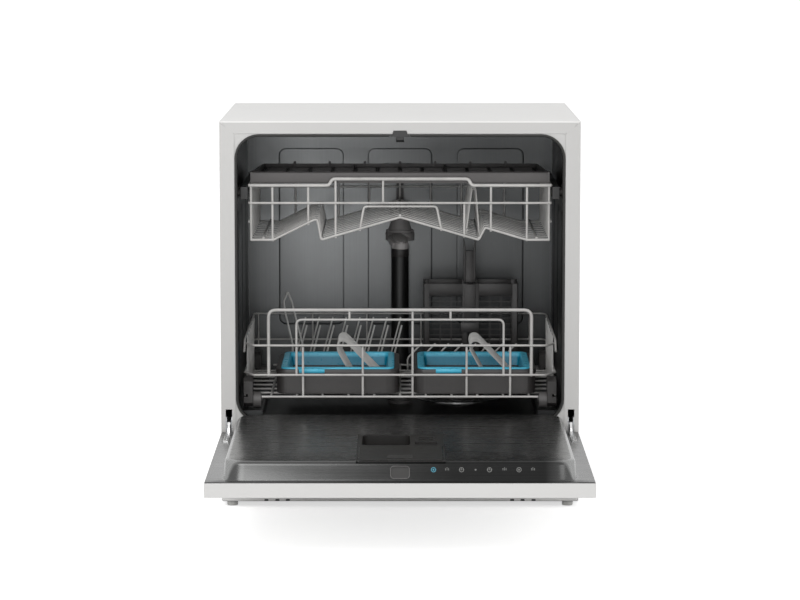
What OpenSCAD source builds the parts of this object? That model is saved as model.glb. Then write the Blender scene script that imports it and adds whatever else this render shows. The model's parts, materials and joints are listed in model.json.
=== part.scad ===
// Countertop dishwasher, eight place settings, shown with its door open.
// Millimetres. +X is to the right seen from the front, +Y runs to the back, +Z is up.
// Places inside the modules are given from the cabinet's front plane, its centre line and the floor.

/* [Cabinet] */
// Width over the side panels
body_w = 550; // [530:5:600]
// Depth from the front flanges to the rear panel
body_d = 465; // [455:5:480]
// Height from the floor to the top of the worktop
body_h = 595; // [590:1:605]
// Height of the feet under the base
foot_h = 8; // [6:1:12]
// Height of the worktop's front band
top_t = 19; // [16:1:19]
// Thickness of the painted sheet
sheet = 1.2; // [1:0.1:1.5]
// How far the water connections stand out at the back
service_out = 14; // [12:1:20]

/* [Tub] */
// Inner half width of the tub
tub_half = 252; // [250:1:254]
// Height of the tub's ceiling
tub_top = 575; // [574:1:575]
// Height of the tub's floor
tub_floor = 131; // [130:1:132]
// Inner face of the tub's back wall
tub_back = 415; // [414:1:418]
// Radius of the tub's long edges
tub_r = 37; // [30:1:40]
// Height of the wheel tracks along both sides
track_z = 145; // [144:1:145]

/* [Door] */
// Reach of the open door in front of the cabinet
door_reach = 436; // [434:1:437]
// Thickness of the outer panel
door_t = 22; // [20:1:24]
// Height of the hinge pins
pivot_z = 128; // [128:1:129]
// Distance of the hinge pins behind the front plane
pivot_y = 9; // [9:0.5:10]
// Height of the raised liner over the panel's inner face
liner_h = 28; // [26:1:28]

/* [Racks] */
// Radius of the rack wires
wire_r = 1.8; // [1.5:0.1:2]
// Radius of the rims and handles
rim_r = 2.6; // [2.2:0.1:2.8]
// Front plane of both racks when they are in
rack_front = 34; // [33:1:35]
// Depth of the upper rack
upper_d = 292; // [280:2:292]
// Depth of the lower rack
lower_d = 346; // [340:1:346]
// Radius of the lower rack's wheels
wheel_r = 12; // [11:0.5:12]
// Radius of the rollers that carry the upper rack
roller_r = 8; // [7:0.5:8]

/* [Hidden] */
front_y = (door_reach - body_d - service_out) / 2; // centres the open machine on the origin
half_w = body_w / 2;
inside_z = pivot_z - 11; // inner face of the open door's panel
open_z = inside_z - door_t; // outer face of the open door
liner_z = inside_z + liner_h;
band_z = body_h - top_t; // lower edge of the worktop's front band
rack_half = 241; // lower rack, middle of its side wires
cage_half = 231; // upper rack, middle of its side wires
lower_back = rack_front + lower_d;
upper_back = rack_front + upper_d;
low_z = 166; // bottom wires of the lower rack
mid_z = 200;
rim_z = 246;
side_z = 252;
grip_z = 301; // top of the lower rack's handle
cage_z = 410; // bottom wires of the upper rack
belt_z = 467;
crown_z = 494; // rim of the upper rack
tube_y = 399; // middle of the water tube at the back wall
arm_y = 196; // middle of the upper spray arm
low_arm_y = 206; // middle of the lower spray arm
sump_at = [95, 262]; // middle of the filter in the tub's floor
salt_at = [-112, 322]; // middle of the salt filler
roller_z = 482.5;
roller_ys = [46, 70];
rail_x = 234; // inner face of the upper rack's rails
wheel_x = 216; // inner face of the lower rack's wheels
wheel_w = 12;
wheel_ys = [62, 350];
wheel_z = track_z + 0.3 + wheel_r;
arm_x = 263; // middle of the hinge arms
box_w = 190;
box_d = 195;
box_h = 37;
box_y = 52; // front face of the wash boxes
box_xs = [-97, 115.5];
box_z = low_z + wire_r + 0.3;
basket_at = [119, 340];
basket_w = 148;
basket_d = 66;
basket_h = 142;
slack = 0.3; // gap between pieces that move past each other
pin_gap = 0.05; // running clearance of pins and axles
fine = 48;

// Puts what follows in the cabinet's own measures.
module in_cabinet() {
  translate([0, front_y, 0]) children();
}

// Makes a piece at the right and its mirror image at the left.
module both_sides() {
  children();
  mirror([1, 0, 0]) children();
}

// A block from its lowest corner to its highest.
module block(low, high) {
  translate(low) cube(high - low);
}

// Corner points of a rounded rectangle about the origin.
function rounded(w, h, r, steps = 8) = [
  for (q = [0 : 3], k = [0 : steps])
    let (a = 90 * q + 90 * k / steps, sx = (q == 0 || q == 3) ? 1 : -1, sy = q < 2 ? 1 : -1)
      [sx * (w / 2 - r) + r * cos(a), sy * (h / 2 - r) + r * sin(a)]
];

// A rounded upright plate in the XZ plane, between two values of Y.
module upright(w, low_z, high_z, r, y0, y1) {
  translate([0, y1, (low_z + high_z) / 2])
    rotate([90, 0, 0])
      linear_extrude(y1 - y0) polygon(rounded(w, high_z - low_z, r));
}

// A rounded lying plate between two heights.
module lying(w, d, r, z0, z1) {
  translate([0, 0, z0]) linear_extrude(z1 - z0) polygon(rounded(w, d, r));
}

// A profile drawn as [y, z] points and given a width along X.
module side_profile(points, x0, x1) {
  translate([x0, 0, 0])
    multmatrix([[0, 0, 1, 0], [1, 0, 0, 0], [0, 1, 0, 0], [0, 0, 0, 1]])
      linear_extrude(x1 - x0) polygon(points);
}

// A profile drawn as [x, z] points and given a depth along Y.
module front_profile(points, y0, y1) {
  translate([0, y1, 0]) rotate([90, 0, 0]) linear_extrude(y1 - y0) polygon(points);
}

// A round bar along X between two places.
module bar_x(x0, x1, y, z, r) {
  translate([x0, y, z]) rotate([0, 90, 0]) cylinder(r = r, h = x1 - x0, $fn = fine);
}

// ---- Wire work ----

function unit(v) = v / norm(v);

// Sideways step at point i of a flat path, long enough to keep the wire's width in a bend.
function mitre(p, i, normal, closed) =
  let (
    n = len(p),
    ahead = closed || i < n - 1 ? unit(p[(i + 1) % n] - p[i]) : unit(p[i] - p[i - 1]),
    behind = closed || i > 0 ? unit(p[i] - p[(i + n - 1) % n]) : ahead,
    a = cross(normal, behind),
    m = unit(a + cross(normal, ahead))
  )
  m / (m * a);

// A path with each corner turned into a short bend that starts r before it.
function bent(p, r, steps = 2) = [
  p[0],
  for (i = [1 : len(p) - 2])
    let (a = p[i] + unit(p[i - 1] - p[i]) * r, b = p[i] + unit(p[i + 1] - p[i]) * r)
      for (k = [0 : steps])
        let (t = k / steps) (1 - t) * (1 - t) * a + 2 * t * (1 - t) * p[i] + t * t * b,
  p[len(p) - 1]
];

// A wire along a flat path. The normal is square to the plane that the path lies in.
module wire(path, normal, r = wire_r, sides = 6, closed = false) {
  n = len(path);
  runs = closed ? n : n - 1;
  points = [
    for (i = [0 : n - 1])
      let (m = mitre(path, i, normal, closed))
        for (k = [0 : sides - 1])
          let (a = 360 * (k + 0.5) / sides) path[i] + r * (cos(a) * m + sin(a) * normal)
  ];
  walls = [
    for (i = [0 : runs - 1], k = [0 : sides - 1])
      let (j = (i + 1) % n, l = (k + 1) % sides)
        [i * sides + k, j * sides + k, j * sides + l, i * sides + l]
  ];
  caps = closed ? [] : [
    [for (k = [0 : sides - 1]) k],
    [for (k = [sides - 1 : -1 : 0]) (n - 1) * sides + k]
  ];
  polyhedron(points, concat(walls, caps));
}

// A straight eight-sided wire between two points.
module rod(a, b, r = wire_r) {
  d = b - a;
  translate(a)
    rotate([0, acos(d[2] / norm(d)), atan2(d[1], d[0])])
      rotate(22.5) cylinder(r = r, h = norm(d), $fn = 8);
}

// ---- Cabinet ----

module worktop() {
  color("gainsboro") in_cabinet() {
    block([-half_w, 0, body_h - sheet], [half_w, body_d, body_h]);
    front_profile([[-half_w + 0.5, body_h - sheet], [half_w - 0.5, body_h - sheet],
      [tub_half + 0.5, band_z], [-tub_half - 0.5, band_z]], 0, sheet);
    // lip turned back over the tub, with a notch for the latch
    difference() {
      block([-tub_half, sheet / 2, band_z], [tub_half, 16, band_z + sheet]);
      block([-8, 2.5, band_z - 1], [8, 18, band_z + 5]);
    }
    block([-half_w + 2, body_d - sheet - 1.5, body_h - 16], [half_w - 2, body_d - 1.5, body_h - sheet / 2]);
    for (y = [110, 230, 350])
      block([-230, y - 12, body_h - sheet - 3], [230, y + 12, body_h - sheet / 2]);
  }
}

// Side panel at the right: sheet, mitred front flange with the hinge slot, and rear flange.
module side_panel() {
  top = body_h - sheet;
  slot = [[258, 115.5], [268, 115.5], [268, 151.5], [258, 151.5]];
  block([half_w - sheet, 0, foot_h + 1], [half_w, body_d, top - 0.1]);
  difference() {
    front_profile([[half_w - 0.5, foot_h + 1], [half_w - 0.5, top - slack], [tub_half + 0.5, band_z - slack],
      [tub_half + 0.5, foot_h + 1]], 0, sheet);
    front_profile(slot, -1, sheet + 1);
  }
  block([half_w - 16, body_d - 2 * sheet - 0.1, 62.4], [half_w - 0.4, body_d - sheet - 0.1, top - 18]);
  for (z = [190, 330, 470])
    block([half_w - sheet - 2.5, 30, z - 18], [half_w - sheet / 2, body_d - 40, z + 18]);
}

module left_side_panel() {
  color("lightgray") in_cabinet() mirror([1, 0, 0]) side_panel();
}

module right_side_panel() {
  color("lightgray") in_cabinet() side_panel();
}

module rear_panel() {
  color("silver") in_cabinet() difference() {
    union() {
      block([-half_w + sheet + 0.1, body_d - sheet, 30], [half_w - sheet - 0.1, body_d, body_h - sheet - 0.1]);
      for (x = [-170, 0, 170])
        translate([x, 0, 0]) upright(118, 170, 540, 20, body_d - sheet - 4, body_d - sheet / 2);
    }
    for (x = [-170, 0, 170])
      translate([x, 0, 0]) upright(114, 172, 538, 18, body_d - sheet - 2.8, body_d + 1);
    for (x = [-180, -120])
      translate([x, body_d - 5, 80]) rotate([-90, 0, 0]) cylinder(r = x == -180 ? 15 : 12, h = 10, $fn = fine);
    translate([185, body_d - 5, 80]) rotate([-90, 0, 0]) cylinder(r = 9, h = 10, $fn = fine);
    for (k = [-4 : 4])
      block([k * 12 - 2.5, body_d - 5, 120], [k * 12 + 2.5, body_d + 1, 150]);
  }
}

foot_places = [[-259, 15], [259, 15], [-259, 448], [259, 448]];

module base_tray() {
  floor_z = foot_h + 2.5;
  color("dimgray") in_cabinet() difference() {
    union() {
      difference() {
        block([-half_w + 1.4, 1.4, foot_h], [half_w - 1.4, body_d - 1.4, 62]);
        block([-half_w + 4, 4, floor_z], [half_w - 4, body_d - 4, 63]);
      }
      for (p = foot_places)
        translate([p[0], p[1], foot_h]) cylinder(r = 12, h = 20, $fn = fine);
      for (y = [120, 330])
        block([-half_w + 3, y - 1.5, foot_h + 1], [half_w - 3, y + 1.5, 22]);
      for (x = [-150, 150])
        block([x - 1.5, 3, foot_h + 1], [x + 1.5, body_d - 3, 22]);
      for (s = [-1, 1])
        block([s * 263 - 7, 6, foot_h + 1], [s * 263 + 7, 42, 96]);
    }
    for (p = foot_places)
      translate([p[0], p[1], foot_h - 1]) cylinder(r = 4 + pin_gap, h = 23, $fn = fine);
    translate([-180, body_d - 20, 80]) rotate([-90, 0, 0]) cylinder(r = 20, h = 30, $fn = fine);
    translate([-120, body_d - 20, 80]) rotate([-90, 0, 0]) cylinder(r = 20, h = 30, $fn = fine);
  }
}

module kick_plate() {
  color("whitesmoke") in_cabinet() difference() {
    union() {
      block([-half_w + 1, -sheet, foot_h + 1], [half_w - 1, 0, 92]);
      block([-half_w + 24, -sheet, 92 - sheet], [half_w - 24, 14, 92]);
    }
    for (s = [-1, 1], x = [173, 189, 206])
      block([s * x - 3, -5, foot_h], [s * x + 3, 5, foot_h + 4]);
  }
}

module feet() {
  color("gainsboro") in_cabinet() for (p = foot_places)
    translate([p[0], p[1], 0]) {
      cylinder(r1 = 8, r2 = 8.5, h = 1.5, $fn = fine);
      translate([0, 0, 1.5]) cylinder(r = 8.5, h = foot_h - 1.5, $fn = fine);
      cylinder(r = 4, h = foot_h + 18, $fn = fine);
    }
}

// Round edged tunnel of the tub, grown by t on every side.
module tub_tunnel(t, y0, y1) {
  upright(2 * (tub_half + t), tub_floor - t, tub_top + t, tub_r + t, y0, y1);
}

module tub() {
  wall = 0.8;
  color("dimgray") in_cabinet() {
    difference() {
      union() {
        difference() {
          tub_tunnel(wall, sheet, tub_back + wall);
          tub_tunnel(0, 0, tub_back);
        }
        // pressed fields on the back wall
        for (f = [[-147, 108], [0, 107], [149.5, 111]])
          translate([f[0], 0, 0]) upright(f[1], 229, 523, 12, tub_back - 1.2, tub_back + wall / 2);
        both_sides() {
          // pressed ribs on the side wall
          for (y = [95, 215, 335])
            block([tub_half - 1.6, y - 5, 210], [tub_half + 0.4, y + 5, 450]);
        }
        // frame round the mouth, behind the cabinet's flanges
        difference() {
          block([-tub_half - 3.5, sheet + 0.1, 94], [tub_half + 3.5, sheet + 0.9, tub_top + wall]);
          tub_tunnel(0, 0, 5);
        }
      }
      translate([sump_at[0], sump_at[1], tub_floor - 3]) cylinder(r = 60, h = 6, $fn = fine);
      translate([salt_at[0], salt_at[1], tub_floor - 3]) cylinder(r = 24, h = 6, $fn = fine);
      translate([0, low_arm_y, tub_floor - 3]) cylinder(r = 13, h = 6, $fn = fine);
      translate([0, tube_y, tub_floor - 3]) cylinder(r = 12.4, h = 6, $fn = fine);
      block([-7, 3, tub_top - 2], [7, 19, tub_top + 2]);
    }
  }
}

// Ledge along each side of the tub's floor that the lower rack's wheels run on.
module wheel_tracks() {
  inner = 212;
  outer = 242.7;
  near = 32;
  color("dimgray") in_cabinet() both_sides() {
    block([inner, near, track_z - 1], [outer, tub_back - 0.1, track_z]);
    block([inner, near, tub_floor], [inner + 1, tub_back - 0.1, track_z - 0.5]);
    front_profile([[inner, tub_floor], [214.5, tub_floor], [215, 131.7], [224.4, 132.9], [233.2, 136.6],
      [240.5, 142.3], [outer - 0.4, track_z - 0.5], [inner, track_z - 0.5]], near, near + 1);
  }
}

module door_gasket() {
  lip = 2.6;
  color([0.12, 0.12, 0.12]) in_cabinet() difference() {
    tub_tunnel(0, -0.6, 11);
    tub_tunnel(-lip, -2, 12);
    difference() {
      tub_tunnel(-0.9, -2, 8);
      tub_tunnel(-1.8, -3, 9);
      block([-300, -4, 500], [300, 2.2, 600]);
      block([-300, -4, 0], [300, 2.2, 600]);
    }
    block([-15, -2, tub_top - 5], [15, 12, tub_top + 2]);
  }
}

module latch_housing() {
  color([0.1, 0.1, 0.1]) in_cabinet() difference() {
    union() {
      block([-14.5, 0.2, tub_top - 4], [14.5, 24, tub_top - 0.1]);
      front_profile([[-12, tub_top - 1.5], [12, tub_top - 1.5], [10, tub_top + 5.5], [-10, tub_top + 5.5]],
        -1.4, -0.1);
      block([-12, -1.4, tub_top - 4], [12, 1, tub_top - 1]);
    }
    block([-6.3, 3.6, tub_top - 6], [6.3, 18.4, tub_top + 2]);
  }
}

module latch_tongue() {
  color([0.16, 0.16, 0.16]) in_cabinet()
    side_profile([[4, tub_top + 1.5], [4, 566], [8, 562.2], [16, 562.2], [18, 564], [18, tub_top + 1.5]], -6, 6);
}

// Ears of the hinge bracket with the pin riveted between them, at the right.
module hinge_bracket() {
  ear = [[1.6, 96], [40, 96], [40, 112], [20, 139], [3, 139], [1.6, 134]];
  side_profile(ear, 256, 259.4);
  side_profile(ear, 266.6, 270);
  block([256, 24, 96], [270, 40, 99]);
  bar_x(257, 269, pivot_y, pivot_z, 4);
  bar_x(269.5, 271.5, pivot_y, pivot_z, 5.5);
}

module hinge_brackets() {
  color("slategray") in_cabinet() both_sides() hinge_bracket();
}

// A coil spring along Y.
module coil(r, turns, length, wire_radius, steps = 8, sides = 4) {
  rings = turns * steps;
  points = [
    for (i = [0 : rings], k = [0 : sides - 1])
      let (a = 360 * i / steps, b = 360 * k / sides, out = r + wire_radius * cos(b))
        [out * cos(a), length * i / rings + wire_radius * sin(b), out * sin(a)]
  ];
  walls = [
    for (i = [0 : rings - 1], k = [0 : sides - 1])
      let (l = (k + 1) % sides, p = i * sides, q = p + sides)
        each [[p + k, p + l, q + l], [p + k, q + l, q + k]]
  ];
  polyhedron(points, concat(walls,
    [[for (k = [sides - 1 : -1 : 0]) k]], [[for (k = [0 : sides - 1]) rings * sides + k]]));
}

module hinge_springs() {
  color("gray") in_cabinet() both_sides() translate([arm_x, 52, 80]) coil(6.5, 10, 90, 1.3);
}

// ---- Guides of the upper rack ----

module roller_posts() {
  color([0.2, 0.2, 0.2]) in_cabinet() both_sides() {
    for (y = roller_ys) {
      bar_x(236.4, tub_half, y, roller_z, 3);
      bar_x(246, tub_half, y, roller_z, 6);
    }
    block([249.5, 36, roller_z - 9], [tub_half - 0.1, 80, roller_z + 9]);
  }
}

// A grooved roller on its post, at the right.
module roller(y) {
  translate([236.8, y, roller_z]) rotate([0, 90, 0]) difference() {
    union() {
      cylinder(r = roller_r, h = 7, $fn = fine);
      cylinder(r = 5.5, h = 8.6, $fn = fine);
    }
    translate([0, 0, -1]) cylinder(r = 3 + pin_gap, h = 12, $fn = fine);
    translate([0, 0, 6]) difference() {
      cylinder(r = roller_r - 1.2, h = 3, $fn = fine);
      translate([0, 0, -1]) cylinder(r = 5.5, h = 5, $fn = fine);
    }
  }
}

module front_left_roller() {
  color([0.1, 0.1, 0.1]) in_cabinet() mirror([1, 0, 0]) roller(roller_ys[0]);
}

module front_right_roller() {
  color([0.1, 0.1, 0.1]) in_cabinet() roller(roller_ys[0]);
}

module back_left_roller() {
  color([0.1, 0.1, 0.1]) in_cabinet() mirror([1, 0, 0]) roller(roller_ys[1]);
}

module back_right_roller() {
  color([0.1, 0.1, 0.1]) in_cabinet() roller(roller_ys[1]);
}

// ---- Water parts ----

module water_tube() {
  color([0.13, 0.13, 0.13]) in_cabinet() translate([0, tube_y, 0]) difference() {
    union() {
      translate([0, 0, 112]) cylinder(r = 12.2, h = 30, $fn = fine);
      translate([0, 0, tub_floor]) cylinder(r = 14.4, h = 214, $fn = fine);
    }
    translate([0, 0, 111]) cylinder(r = 9.5, h = 240, $fn = fine);
  }
}

// Grey outlet on top of the tube: a riser that turns forward into a cone, and the bracket that holds it to the wall.
module docking_funnel() {
  mouth_y = 350;
  z = 426;
  wall_y = tub_back - 1.3;
  riser = [[0, 338], [9.3, 338], [9.3, 345], [14.6, 345], [14.6, 358], [11.5, 369], [11.5, z + 8], [8, z + 12],
    [0, z + 12]];
  cone = [[0, 0], [17.5, 0], [10.5, 16], [10.5, tube_y + 4 - mouth_y], [0, tube_y + 4 - mouth_y]];
  flare = [[0, -1], [16.2, -1], [7, 16], [7, tube_y - mouth_y], [0, tube_y - mouth_y]];
  color("gray") in_cabinet() difference() {
    union() {
      translate([0, tube_y, 0]) rotate_extrude($fn = fine) polygon(riser);
      translate([0, mouth_y, z]) rotate([-90, 0, 0]) rotate_extrude($fn = fine) polygon(cone);
      block([-8, tube_y, z - 34], [8, wall_y, z - 12]);
      block([-6, wall_y - 2.5, z - 30], [6, wall_y, 490]);
      block([-25.5, wall_y - 9, 484], [25.5, wall_y, 497]);
    }
    translate([0, tube_y, 330]) cylinder(r = 7.4, h = z - 330, $fn = fine);
    translate([0, mouth_y, z]) rotate([-90, 0, 0]) rotate_extrude($fn = fine) polygon(flare);
  }
}

module sump() {
  color("darkslategray") in_cabinet() difference() {
    union() {
      translate([sump_at[0], sump_at[1], 66]) cylinder(r1 = 44, r2 = 58, h = 40, $fn = fine);
      translate([sump_at[0], sump_at[1], 106]) cylinder(r = 66, h = tub_floor - 0.9 - 106, $fn = fine);
      block([-16, low_arm_y - 16, 104], [sump_at[0], low_arm_y + 16, 118]);
      block([-16, low_arm_y, 104], [16, tube_y + 16, 111.8]);
    }
    translate([sump_at[0], sump_at[1], 70]) cylinder(r1 = 41, r2 = 55, h = 37, $fn = fine);
    translate([sump_at[0], sump_at[1], 106]) cylinder(r = 59, h = 30, $fn = fine);
  }
}

module filter_plate() {
  color("silver") in_cabinet() translate([sump_at[0], sump_at[1], tub_floor]) difference() {
    union() {
      cylinder(r = 72, h = 1.2, $fn = fine);
      translate([0, 0, -4]) cylinder(r = 58.5, h = 4.5, $fn = fine);
    }
    translate([0, 0, -5]) cylinder(r = 37, h = 8, $fn = fine);
    for (ring = [0, 1], k = [0 : 23])
      rotate(15 * k + 7.5 * ring) translate([43.5 + 8.5 * ring, 0, -5]) cylinder(r = 2.4, h = 8, $fn = 16);
  }
}

module filter_cup() {
  color("darkgray") in_cabinet() translate([sump_at[0], sump_at[1], 0]) {
    difference() {
      union() {
        translate([0, 0, 84]) cylinder(r = 34, h = tub_floor - 84 + 1.6, $fn = fine);
        translate([0, 0, tub_floor + 1.6]) cylinder(r = 39, h = 3, $fn = fine);
      }
      translate([0, 0, 87]) cylinder(r = 31.5, h = 60, $fn = fine);
      for (k = [0 : 11])
        rotate(30 * k) translate([30, -4, 92]) cube([10, 8, 32]);
    }
    for (a = [0, 90])
      rotate(a) block([-33, -1.5, tub_floor + 0.5], [33, 1.5, tub_floor + 4.6]);
    block([-16, -3, tub_floor + 3], [16, 3, tub_floor + 11]);
  }
}

module salt_cap() {
  color([0.16, 0.16, 0.16]) in_cabinet() translate([salt_at[0], salt_at[1], 0]) difference() {
    union() {
      translate([0, 0, 112]) cylinder(r = 22, h = tub_floor - 112 + 1, $fn = fine);
      translate([0, 0, tub_floor + slack]) cylinder(r = 30, h = 5, $fn = fine);
      block([-22, -4, tub_floor + 4], [22, 4, tub_floor + 12]);
    }
    for (k = [0 : 11])
      rotate(30 * k + 15) translate([31.5, 0, tub_floor - 1]) cylinder(r = 3, h = 9, $fn = 24);
  }
}

module spray_arm_post() {
  color("gray") in_cabinet() translate([0, low_arm_y, 0]) difference() {
    union() {
      translate([0, 0, 118]) cylinder(r = 12.6, h = tub_floor - 118, $fn = fine);
      translate([0, 0, tub_floor]) cylinder(r = 20, h = 4, $fn = fine);
      translate([0, 0, tub_floor + 4]) cylinder(r = 14, h = 9.5, $fn = fine);
      translate([0, 0, tub_floor + 13]) cylinder(r = 9, h = 16, $fn = fine);
      translate([0, 0, 158.4]) cylinder(r1 = 13, r2 = 11, h = 2.4, $fn = fine);
    }
    translate([0, 0, 117]) cylinder(r = 6.5, h = 36, $fn = fine);
  }
}

// A two-winged spray arm of half length l between two heights, with jet holes on top.
module spray_wings(l, z0, z1, bore) {
  tip = 15;
  root = 23;
  half = [
    [root, 0], [l * 0.35, root * 0.55], [l - tip, tip - 2],
    for (k = [1 : 8]) [l - tip + tip * sin(20 * k), 2 + (tip - 4) * cos(20 * k)],
    [l - tip, -tip + 3], [l * 0.35, -root * 0.8], [root * 0.8, -root * 0.8]
  ];
  difference() {
    union() {
      for (turn = [0, 180])
        rotate(turn) translate([0, 0, z0 + 1.5]) linear_extrude(z1 - z0 - 3.5) polygon(half);
      for (turn = [0, 180])
        rotate(turn) translate([0, 0, z0 + 3]) linear_extrude(z1 - z0 - 3)
          polygon([for (p = half) [p[0] * 0.985, p[1] * 0.62 + 0.5]]);
      translate([0, 0, z0]) cylinder(r = root, h = z1 - z0, $fn = fine);
    }
    translate([0, 0, z0 - 1]) cylinder(r = bore, h = z1 - z0 + 2, $fn = fine);
    for (turn = [0, 180], k = [1 : 6])
      rotate(turn) translate([l * (0.2 + 0.125 * k), k % 2 * 5 - 2, z1 - 3]) cylinder(r = 1.5, h = 5, $fn = 16);
  }
}

module lower_spray_arm() {
  color("dimgray") in_cabinet() translate([0, low_arm_y, 0])
    spray_wings(170, 145.2, 158, 9 + pin_gap);
}

module circulation_pump() {
  color([0.25, 0.25, 0.27]) in_cabinet() {
    translate([-150, 190, 62]) rotate([0, 90, 0]) cylinder(r = 36, h = 70, $fn = fine);
    translate([-80, 190, 62]) rotate([0, 90, 0]) cylinder(r1 = 36, r2 = 42, h = 8, $fn = fine);
    translate([-72, 190, 62]) rotate([0, 90, 0]) cylinder(r = 42, h = 26, $fn = fine);
    translate([-46, 190, 70]) rotate([0, 90, 0]) cylinder(r = 14, h = 60, $fn = fine);
    block([-146, 160, 10.5], [-110, 220, 40]);
  }
}

module drain_pump() {
  color([0.2, 0.2, 0.22]) in_cabinet() difference() {
    union() {
      translate([sump_at[0], sump_at[1] + 60, 80]) rotate([-90, 0, 0]) cylinder(r = 24, h = 50, $fn = fine);
      translate([-120, 360, 80]) rotate([0, 90, 0]) cylinder(r = 7, h = 200, $fn = fine);
      translate([-120, 360, 80]) sphere(r = 7.4, $fn = fine);
      translate([-120, 360, 80]) rotate([-90, 0, 0]) cylinder(r = 7, h = body_d - 3 - 360, $fn = fine);
      translate([-120, body_d - 3, 80]) rotate([-90, 0, 0]) cylinder(r = 11.5, h = 3, $fn = fine);
      translate([-120, body_d - 0.1, 80]) rotate([-90, 0, 0]) cylinder(r = 9.5, h = service_out + 0.1, $fn = fine);
    }
    translate([-120, 364, 80]) rotate([-90, 0, 0]) cylinder(r = 5.2, h = 200, $fn = fine);
  }
}

module inlet_valve() {
  color("white") in_cabinet() translate([-180, 0, 80]) difference() {
    union() {
      block([-17, body_d - 62, -17], [17, body_d - 3, 17]);
      translate([0, body_d - 48, 15]) cylinder(r = 14, h = 34, $fn = fine);
      translate([0, body_d - 4, 0]) rotate([-90, 0, 0]) cylinder(r = 14.5, h = 4, $fn = fine);
      translate([0, body_d - 0.1, 0]) rotate([-90, 0, 0]) cylinder(r = 13.2, h = service_out + 0.1, $fn = fine);
    }
    translate([0, body_d - 12, 0]) rotate([-90, 0, 0]) cylinder(r = 9, h = 40, $fn = fine);
  }
}

module cable_gland() {
  color([0.15, 0.15, 0.15]) in_cabinet() translate([185, 0, 80]) difference() {
    union() {
      translate([0, body_d - 12, 0]) rotate([-90, 0, 0]) cylinder(r = 8.8, h = 18, $fn = fine);
      translate([0, body_d - 14, 0]) rotate([-90, 0, 0]) cylinder(r = 13, h = 12, $fn = 6);
      translate([0, body_d, 0]) rotate([-90, 0, 0]) cylinder(r1 = 12, r2 = 10, h = 7, $fn = fine);
    }
    translate([0, body_d - 10, 0]) rotate([-90, 0, 0]) cylinder(r = 4, h = 30, $fn = fine);
  }
}

// ---- Door, drawn open ----

module door_outer_panel() {
  far = -2;
  near = -door_reach;
  color("white") in_cabinet() difference() {
    union() {
      difference() {
        block([-half_w, near, open_z], [half_w, far, inside_z - sheet]);
        block([-half_w + sheet, near + sheet, open_z + sheet], [half_w - sheet, far - sheet, inside_z + 1]);
      }
      // channel for the fingers along the top edge, seen from inside the door
      block([-92, near + 26, open_z + 0.6], [92, near + 66, open_z + 14]);
      for (s = [-1, 1])
        block([s * 230 - 9, near + 80, open_z + 0.6], [s * 230 + 9, far - 12, open_z + 10]);
    }
    block([-90, near + 28, open_z - 1], [90, near + 64, open_z + 12.6]);
  }
}

lip_low = -432; // near edge of the liner's raised part at its foot
lip_high = -422; // and at its top
liner_far = -4;
liner_r = 30; // corner radius in plan, small enough to show and large enough to pass the gasket's corners
cup_low = [-62, -302];
cup_high = [62, -196];

// Raised part of the liner between its foot and its top, made smaller by t.
module liner_dome(t) {
  hull() {
    translate([0, (lip_low + liner_far) / 2, inside_z - 0.5])
      lying(497.2 - 2 * t, liner_far - lip_low - 2 * t, liner_r, 0, 0.5);
    translate([0, (lip_high + liner_far) / 2, 0])
      lying(494.8 - 2 * t, liner_far - lip_high - 2 * t, liner_r, liner_z - 0.5 - t, liner_z - t);
  }
}

module door_liner() {
  color("silver") in_cabinet() difference() {
    union() {
      block([-half_w + 1.4, -door_reach + 1.4, inside_z - sheet], [half_w - 1.4, -3.4, inside_z]);
      liner_dome(0);
    }
    translate([0, 0, -0.01]) liner_dome(1);
    block([-246, -428, inside_z - 5], [246, -6, inside_z + 0.5]);
    // slot for the latch in the sloping lip
    translate([0, -426, (inside_z + liner_z) / 2 - 1])
      rotate([90, 0, 0]) linear_extrude(20, center = true) polygon(rounded(26, 18, 4));
    block([cup_low[0] + 2, cup_low[1] + 2, liner_z - 4], [cup_high[0] - 2, cup_high[1] - 2, liner_z + 4]);
  }
}

// Hinge arm at the right: a foot along the door and a neck around the pin.
module hinge_arm() {
  neck = concat(
    [[pivot_y - 19.5, inside_z], [pivot_y - 4, inside_z]],
    [for (k = [0 : 8]) let (a = -70 + 22.5 * k) [pivot_y + 9 * cos(a), pivot_z + 9 * sin(a)]],
    [[pivot_y - 12, pivot_z + 4], [pivot_y - 18, pivot_z - 4]]
  );
  difference() {
    union() {
      side_profile(neck, 261, 265);
      block([259, -95, inside_z], [267, -11, inside_z + 1.7]);
      block([259, -13, inside_z], [267, -4, inside_z + 1.7]);
    }
    bar_x(255, 275, pivot_y, pivot_z, 4 + pin_gap);
    for (y = [-84, -52])
      translate([263, y, inside_z - 1]) cylinder(r = 2.1, h = 4, $fn = 24);
  }
}

module hinge_arms() {
  color("silver") in_cabinet() both_sides() hinge_arm();
}

rinse_at = [38, -232];

module dispenser_body() {
  depth = 24;
  color([0.3, 0.3, 0.3]) in_cabinet() difference() {
    union() {
      block([cup_low[0] + 2.2, cup_low[1] + 2.2, liner_z - depth],
        [cup_high[0] - 2.2, cup_high[1] - 2.2, liner_z]);
      difference() {
        block([cup_low[0], -424, liner_z], [cup_high[0] + 2, cup_high[1], liner_z + 0.8]);
        block([cup_low[0] + 2.5, -421, liner_z - 1], [cup_high[0] - 0.5, cup_low[1] + 2.2, liner_z + 2]);
      }
    }
    // detergent cup
    translate([-20, -250, 0]) lying(70, 88, 10, liner_z - depth + 2, liner_z + 3);
    // recess and well of the rinse aid
    translate([rinse_at[0], rinse_at[1], liner_z - 4]) cylinder(r = 16, h = 8, $fn = fine);
    translate([rinse_at[0], rinse_at[1], liner_z - 12]) cylinder(r = 8, h = 12, $fn = fine);
    block([22, -290, liner_z - 3], [54, -262, liner_z + 3]);
  }
}

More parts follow.
